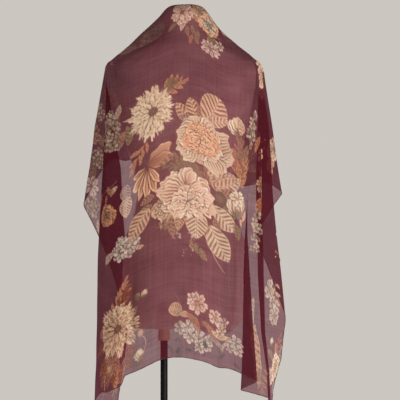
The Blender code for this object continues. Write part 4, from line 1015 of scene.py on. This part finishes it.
STRETCHES = (
    # piece, CAD node that it stands for
    ("scarf_back_upper", "scarf_back"),
    ("scarf_back_lower", None),
    ("scarf_left_folds", "scarf_side_left"),
    ("scarf_right_folds", "scarf_side_right"),
    ("scarf_left_front", "scarf_front_left"),
    ("scarf_right_front", "scarf_front_right"),
)


def stretch_of(u, v):
    """Number of the stretch that a place on the flat cloth belongs to."""
    half, line = ridge_measures(u)
    owner = np.where(v < 0.52, 0, 1)
    for side, folds, front in ((-1, 2, 4), (1, 3, 5)):
        d = SIDES[side]
        a = u * side
        lean = math.tan(math.radians(d["start"] - 90))
        edge = d["flat"] - 0.020 - np.clip(v - TIP_FALL, 0, None) * lean
        owner = np.where((a > edge) & (v > TIP_FALL - 0.004), folds, owner)
        owner = np.where((a > d["flat"]) & (v <= TIP_FALL), front, owner)
        owner = np.where((a > NECK_HALF) & (a <= d["flat"]) & (v < line - half), front, owner)
    return owner


def mesh_piece(name, points, faces, normals=None, maps=(), dye=None):
    """A smooth mesh of equal faces, kept to the points that they use."""
    used = np.unique(faces)
    number = np.full(len(points), -1)
    number[used] = np.arange(len(used))
    mesh = bpy.data.meshes.new(name)
    mesh.vertices.add(len(used))
    mesh.vertices.foreach_set("co", points[used].astype(np.float32).reshape(-1))
    mesh.loops.add(faces.size)
    mesh.loops.foreach_set("vertex_index", number[faces].reshape(-1).astype(np.int32))
    mesh.polygons.add(len(faces))
    mesh.polygons.foreach_set("loop_start", np.arange(0, faces.size, faces.shape[1], dtype=np.int32))
    mesh.update(calc_edges=True)
    for label, uv in maps:
        mesh.uv_layers.new(name=label).data.foreach_set("uv", uv[faces.reshape(-1)].astype(np.float32).reshape(-1))
    if dye is not None:
        layer = mesh.color_attributes.new("dye", "FLOAT_COLOR", "POINT")
        layer.data.foreach_set("color", dye[used].astype(np.float32).reshape(-1))
    mesh.shade_smooth()
    if normals is not None:
        mesh.normals_split_custom_set_from_vertices(normals[used].tolist())
    obj = bpy.data.objects.new(name, mesh)
    bpy.context.scene.collection.objects.link(obj)
    return obj


def linear(c):
    return np.where(c <= 0.04045, c / 12.92, ((c + 0.055) / 1.055) ** 2.4)


def read_canvas(field, u, v):
    """The print at a place on the flat cloth, between the paint cells."""
    x = np.clip((u + SCARF / 2) / CELL - 0.5, 0, CANVAS - 1.001)
    y = np.clip(v / CELL - 0.5, 0, CANVAS - 1.001)
    i, j = y.astype(int), x.astype(int)
    fx, fy = x - j, y - i
    if field.ndim == 3:
        fx, fy = fx[..., None], fy[..., None]
    return ((field[i, j] * (1 - fx) + field[i, j + 1] * fx) * (1 - fy)
            + (field[i + 1, j] * (1 - fx) + field[i + 1, j + 1] * fx) * fy)


def soften(field, passes):
    for _ in range(passes):
        field[1:-1] = (field[:-2] + 2 * field[1:-1] + field[2:]) / 4
        field[:, 1:-1] = (field[:, :-2] + 2 * field[:, 1:-1] + field[:, 2:]) / 4


def hem_tube(name, path, out_way, radius, sides=8):
    """A rolled hem: a thin uneven tube along one edge of the cloth."""
    path = path[:: max(1, int(round(0.0034 / STEP)))] if len(path) > 4 else path
    along = np.gradient(path, axis=0)
    along /= np.maximum(np.linalg.norm(along, axis=1, keepdims=True), 1e-9)
    way = out_way[:: max(1, int(round(0.0034 / STEP)))]
    way = way - along * (way * along).sum(1, keepdims=True)
    way /= np.maximum(np.linalg.norm(way, axis=1, keepdims=True), 1e-9)
    other = np.cross(along, way)
    k = np.arange(len(path))
    grow = radius * (1 + 0.16 * np.sin(k * 0.9) + 0.10 * np.sin(k * 2.3 + 1))
    a = 2 * math.pi * np.arange(sides) / sides
    rings = (path[:, None, :] + grow[:, None, None] * (np.cos(a)[None, :, None] * way[:, None, :] * 1.25
                                                       + np.sin(a)[None, :, None] * other[:, None, :]))
    points = rings.reshape(-1, 3)
    faces = []
    for i in range(len(path) - 1):
        for j in range(sides):
            n = (j + 1) % sides
            faces.append((i * sides + j, i * sides + n, (i + 1) * sides + n, (i + 1) * sides + j))
    flat = np.stack(np.broadcast_arrays(k[:, None] * 0.0034, np.arange(sides)[None, :] * 0.001), -1).reshape(-1, 2)
    obj = mesh_piece(name, points, np.array(faces), maps=(("cloth", flat),))
    caps = bmesh.new()
    caps.from_mesh(obj.data)
    bmesh.ops.holes_fill(caps, edges=[e for e in caps.edges if e.is_boundary], sides=sides)
    caps.to_mesh(obj.data)
    caps.free()
    return obj


# --------------------------------------------------------------------------
# Materials
# --------------------------------------------------------------------------
class Nodes:
    """A material's node tree, built by short calls."""

    def __init__(self, name):
        self.material = bpy.data.materials.new(name)
        self.material.use_nodes = True
        self.tree = self.material.node_tree
        self.tree.nodes.clear()
        self.out = self.tree.nodes.new("ShaderNodeOutputMaterial")

    def add(self, kind, links=(), **settings):
        node = self.tree.nodes.new("ShaderNode" + kind)
        for key, value in settings.items():
            setattr(node, key, value)
        for key, value in dict(links).items():
            socket = node.inputs[key]
            if isinstance(value, bpy.types.NodeSocket):
                self.tree.links.new(value, socket)
            else:
                socket.default_value = value
        return node

    def math(self, operation, a, b=None, clamp=False):
        node = self.add("Math", {0: a} if b is None else {0: a, 1: b}, operation=operation)
        node.use_clamp = clamp
        return node.outputs[0]

    def noise(self, vector, scale, detail=2.0, rough=0.5):
        return self.add("TexNoise", {"Vector": vector, "Scale": scale, "Detail": detail, "Roughness": rough}).outputs["Fac"]

    def stretch(self, vector, x, y, z=1.0):
        return self.add("Mapping", {"Vector": vector, "Scale": (x, y, z)}).outputs[0]

    def ramp(self, value, low, high, to_low, to_high):
        return self.add("MapRange", {"Value": value, "From Min": low, "From Max": high,
                                     "To Min": to_low, "To Max": to_high}).outputs[0]

    def mix(self, fac, a, b, blend="MIX"):
        node = self.add("Mix", data_type="RGBA", blend_type=blend)
        for key, value in ((0, fac), (6, a), (7, b)):
            if isinstance(value, bpy.types.NodeSocket):
                self.tree.links.new(value, node.inputs[key])
            else:
                node.inputs[key].default_value = value
        return node.outputs[2]

    def done(self, shader):
        self.tree.links.new(shader, self.out.inputs["Surface"])
        return self.material


COVER = 0.69             # share of the light that the threads stop
PASSING = (0.97, 0.755, 0.825, 1)   # tint of the light that passes between them
GROUND_GAIN, PRINT_GAIN = 0.50, 0.90   # how light the dyes are against the paint above
THROUGH = 0.42           # share of the threads' own light that comes from behind


def chiffon(name, hem=False):
    n = Nodes(name)
    flat = n.add("UVMap", uv_map="cloth").outputs[0]
    if hem:
        slub = n.noise(n.stretch(flat, 900, 900), 1.0, 2)
        cover = n.ramp(slub, 0.3, 0.7, 0.66, 0.86)
        tint = n.mix(slub, (0.065, 0.020, 0.028, 1), (0.16, 0.062, 0.076, 1))
    else:
        dye = n.add("Attribute", attribute_name="dye")
        weft = n.noise(n.stretch(flat, 6, 640), 1.0, 3, 0.55)
        warp = n.noise(n.stretch(flat, 640, 5), 1.0, 3, 0.55)
        cloud = n.noise(n.stretch(flat, 22, 22), 1.0, 3, 0.5)
        threads = n.math("ADD", n.ramp(weft, 0.30, 0.70, -0.5, 0.5), n.ramp(warp, 0.30, 0.70, -0.36, 0.36))
        bars = n.math("ADD", n.ramp(n.noise(n.stretch(flat, 7, 150), 1.0, 2, 0.6), 0.35, 0.70, -0.2, 0.5),
                      n.ramp(n.noise(n.stretch(flat, 150, 6), 1.0, 2, 0.6), 0.35, 0.70, -0.2, 0.4))
        threads = n.math("ADD", threads, n.math("MULTIPLY", bars, 0.7))
        cover = n.math("ADD", n.math("MULTIPLY", threads, 0.10), n.ramp(cloud, 0.3, 0.7, COVER - 0.03, COVER + 0.03))
        cover = n.math("ADD", cover, n.math("MULTIPLY", dye.outputs["Alpha"], 0.08))
        edge = n.add("LayerWeight", {"Blend": 0.25}).outputs["Facing"]
        cover = n.math("ADD", cover, n.math("MULTIPLY", n.math("POWER", edge, 1.6), 0.26))
        cover = n.math("MINIMUM", cover, 0.97)
        tint = n.mix(n.ramp(weft, 0.30, 0.70, 0.0, 0.12), dye.outputs["Color"], (0.05, 0.012, 0.018, 1))
    bump = n.add("Bump", {"Height": n.noise(n.stretch(flat, 1300, 1300), 1.0, 2), "Strength": 0.25, "Distance": 0.0004})
    body = n.add("BsdfPrincipled", {"Base Color": tint, "Roughness": 0.82, "Sheen Weight": 0.04,
                                    "Sheen Roughness": 0.45, "Specular IOR Level": 0.14, "Normal": bump.outputs[0]})
    glow = n.add("BsdfTranslucent", {"Color": tint, "Normal": bump.outputs[0]})
    threads_shader = n.add("MixShader", {0: THROUGH, 1: body.outputs[0], 2: glow.outputs[0]}).outputs[0]
    open_ = n.add("BsdfTransparent", {"Color": PASSING}).outputs[0]
    return n.done(n.add("MixShader", {0: cover, 1: open_, 2: threads_shader}).outputs[0])


def moulded(name, colour, deep, rough):
    """Smooth satin plastic with faint clouding and rubbed grain."""
    n = Nodes(name)
    place = n.add("TexCoord").outputs["Object"]
    cloud = n.noise(n.stretch(place, 9, 9, 7), 1.0, 4, 0.55)
    grain = n.noise(n.stretch(place, 420, 420, 420), 1.0, 2)
    tint = n.mix(n.ramp(cloud, 0.35, 0.70, 0.0, 0.9), colour, deep)
    bump = n.add("Bump", {"Height": grain, "Strength": 0.12, "Distance": 0.0005})
    body = n.add("BsdfPrincipled", {"Base Color": tint, "Roughness": n.ramp(grain, 0.3, 0.7, rough - 0.06, rough + 0.08),
                                    "Specular IOR Level": 0.35, "Normal": bump.outputs[0]})
    return n.done(body.outputs[0])


def enamel(name, colour, worn, rough, brush=0.0):
    """Black stoved paint with fine orange peel and slightly worn patches."""
    n = Nodes(name)
    place = n.add("TexCoord").outputs["Object"]
    peel = n.noise(n.stretch(place, 260, 260, 260), 1.0, 2)
    wear = n.noise(n.stretch(place, 14, 14, 14), 1.0, 5, 0.62)
    tint = n.mix(n.ramp(wear, 0.52, 0.78, 0.0, 0.8), colour, worn)
    bump = n.add("Bump", {"Height": peel, "Strength": 0.18, "Distance": 0.0006})
    body = n.add("BsdfPrincipled", {"Base Color": tint, "Roughness": n.ramp(wear, 0.3, 0.7, rough - 0.05, rough + 0.10),
                                    "Specular IOR Level": 0.06, "Normal": bump.outputs[0]})
    return n.done(body.outputs[0])


# --------------------------------------------------------------------------
# Pieces
# --------------------------------------------------------------------------
def make_scarf():
    soften(paint, 1)
    u, v, points = drape()
    normals = sheet_normals(points)
    inked = read_canvas(pigment, u, v)[..., None]
    colour = linear(read_canvas(paint, u, v)) * (GROUND_GAIN + (PRINT_GAIN - GROUND_GAIN) * inked)
    dye = np.concatenate([colour, inked], -1).reshape(-1, 4)
    flat_points, flat_normals = points.reshape(-1, 3), normals.reshape(-1, 3)
    flat = np.stack([u, v], -1).reshape(-1, 2)
    index = np.arange(COUNT * COUNT).reshape(COUNT, COUNT)
    quads = np.stack([index[:-1, :-1], index[1:, :-1], index[1:, 1:], index[:-1, 1:]], -1)
    middle_u, middle_v = (u[:-1, :-1] + u[1:, 1:]) / 2, (v[:-1, :-1] + v[1:, 1:]) / 2
    owner = stretch_of(middle_u, middle_v)
    cloth = chiffon("scarf_chiffon")
    pieces = {}
    for number, (name, node) in enumerate(STRETCHES):
        mine = owner == number
        faces = quads[mine]
        low = np.array([middle_u[mine].min(), middle_v[mine].min()]) - STEP
        high = np.array([middle_u[mine].max(), middle_v[mine].max()]) + STEP
        obj = mesh_piece(name, flat_points, faces, flat_normals,
                         (("cloth", flat), ("OFBake", (flat - low) / (high - low).max())), dye)
        obj.data.materials.append(cloth)
        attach(obj, "root")
        size = high - low - STEP
        pieces[name] = (obj, (float(size[0]), float(size[1])), float(mine.sum()) * STEP * STEP, node)
    for name, (obj, size, area, node) in pieces.items():
        if node:
            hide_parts(node)
    hem_skin = chiffon("scarf_hem", hem=True)
    hems = {name: [] for name in pieces}
    sides = (("upper", 0, None), ("lower", -1, None), ("left", None, 0), ("right", None, -1))
    for label, row, col in sides:
        line = points[row] if row is not None else points[:, col]
        inner = points[1 if row == 0 else -2] if row is not None else points[:, 1 if col == 0 else -2]
        labels = owner[row] if row is not None else owner[:, col]
        starts = [0] + [k + 1 for k in range(len(labels) - 1) if labels[k] != labels[k + 1]] + [len(labels)]
        for a, b in zip(starts, starts[1:]):
            name = STRETCHES[labels[a]][0]
            piece = hem_tube(f"hem_{label}_{name[6:]}" + ("" if a == 0 or label != "upper" else f"_{a}"),
                             line[a:b + 1], (line - inner)[a:b + 1], 0.00070)
            piece.data.materials.append(hem_skin)
            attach(piece, "root")
            hems[name].append(piece)
    return points


def finish_form():
    form = moulded("form_skin", (0.86, 0.77, 0.71, 1), (0.81, 0.71, 0.64, 1), 0.55)
    flange = moulded("flange_skin", (0.72, 0.52, 0.38, 1), (0.64, 0.45, 0.32, 1), 0.50)
    post = enamel("post_paint", (0.0020, 0.0017, 0.0016, 1), (0.005, 0.004, 0.004, 1), 0.42)
    base = enamel("base_paint", (0.015, 0.014, 0.015, 1), (0.040, 0.037, 0.036, 1), 0.42)
    for node, skin in (("form_torso", form), ("form_flange", flange), ("post", post),
                       ("base_hub", base), ("base_plate", base)):
        obj = bpy.data.objects[node]
        obj.data.materials.clear()
        obj.data.materials.append(skin)


# --------------------------------------------------------------------------
# Stage, light and camera
# --------------------------------------------------------------------------
VIEW_X, VIEW_Z = 0.0887, 0.980        # what the camera is aimed at
VIEW_FAR = 9.00                       # distance from the plane of the back
VIEW_WIDE = 0.980                     # width seen in that plane
BACK_PLANE = -0.060


def make_stage():
    bm = bmesh.new()
    bmesh.ops.create_circle(bm, cap_ends=True, cap_tris=False, segments=96, radius=1.9)
    bmesh.ops.translate(bm, verts=bm.verts, vec=(0.05, 0, -0.0006))
    mesh = bpy.data.meshes.new("floor")
    bm.to_mesh(mesh)
    bm.free()
    floor = bpy.data.objects.new("floor", mesh)
    bpy.context.scene.collection.objects.link(floor)
    n = Nodes("floor_plaster")
    place = n.add("TexCoord").outputs["Object"]
    speck = n.noise(n.stretch(place, 30, 30, 30), 1.0, 6, 0.6)
    tint = n.mix(n.ramp(speck, 0.35, 0.7, 0, 1), (0.66, 0.63, 0.59, 1), (0.58, 0.55, 0.51, 1))
    mesh.materials.append(n.done(n.add("BsdfPrincipled", {"Base Color": tint, "Roughness": 0.8}).outputs[0]))


def area_light(name, place, aim, size, power, colour):
    lamp = bpy.data.lights.new(name, "AREA")
    lamp.shape = "RECTANGLE"
    lamp.size, lamp.size_y = size
    lamp.energy, lamp.color = power, colour
    obj = bpy.data.objects.new(name, lamp)
    obj.location = place
    obj.rotation_euler = (Vector(aim) - Vector(place)).to_track_quat("-Z", "Y").to_euler()
    bpy.context.scene.collection.objects.link(obj)
    obj.visible_camera = False


def make_light():
    world = bpy.data.worlds.new("studio")
    bpy.context.scene.world = world
    world.use_nodes = True
    tree = world.node_tree
    tree.nodes.clear()
    out = tree.nodes.new("ShaderNodeOutputWorld")
    shade = tree.nodes.new("ShaderNodeBackground")
    shade.inputs["Color"].default_value = (0.600, 0.570, 0.530, 1)
    shade.inputs["Strength"].default_value = 1.0
    tree.links.new(shade.outputs[0], out.inputs[0])
    area_light("fill", (-1.94, -3.5, 0.08), (0.05, 0, 0.6), (1.8, 1.0), 42, (1.0, 0.97, 0.93))
    area_light("key", (2.65, -3.0, 0.08), (0.05, 0, 0.6), (1.8, 1.0), 228, (1.0, 0.98, 0.96))
    area_light("behind", (-0.8, 2.4, 1.0), (0.05, 0, 0.9), (1.8, 1.4), 24, (1.0, 0.98, 0.95))


def make_camera():
    data = bpy.data.cameras.new("camera")
    data.sensor_width = 36.0
    data.lens = 36.0 * VIEW_FAR / VIEW_WIDE
    data.clip_end = 60
    obj = bpy.data.objects.new("camera", data)
    obj.location = (VIEW_X, BACK_PLANE - VIEW_FAR, VIEW_Z)
    obj.rotation_euler = (math.pi / 2, 0, 0)
    bpy.context.scene.collection.objects.link(obj)
    bpy.context.scene.camera = obj


def main():
    make_camera()
    make_stage()
    make_light()
    finish_form()
    make_scarf()
    scene = bpy.context.scene
    scene.view_settings.view_transform = "Standard"
    scene.view_settings.look = "None"


main()
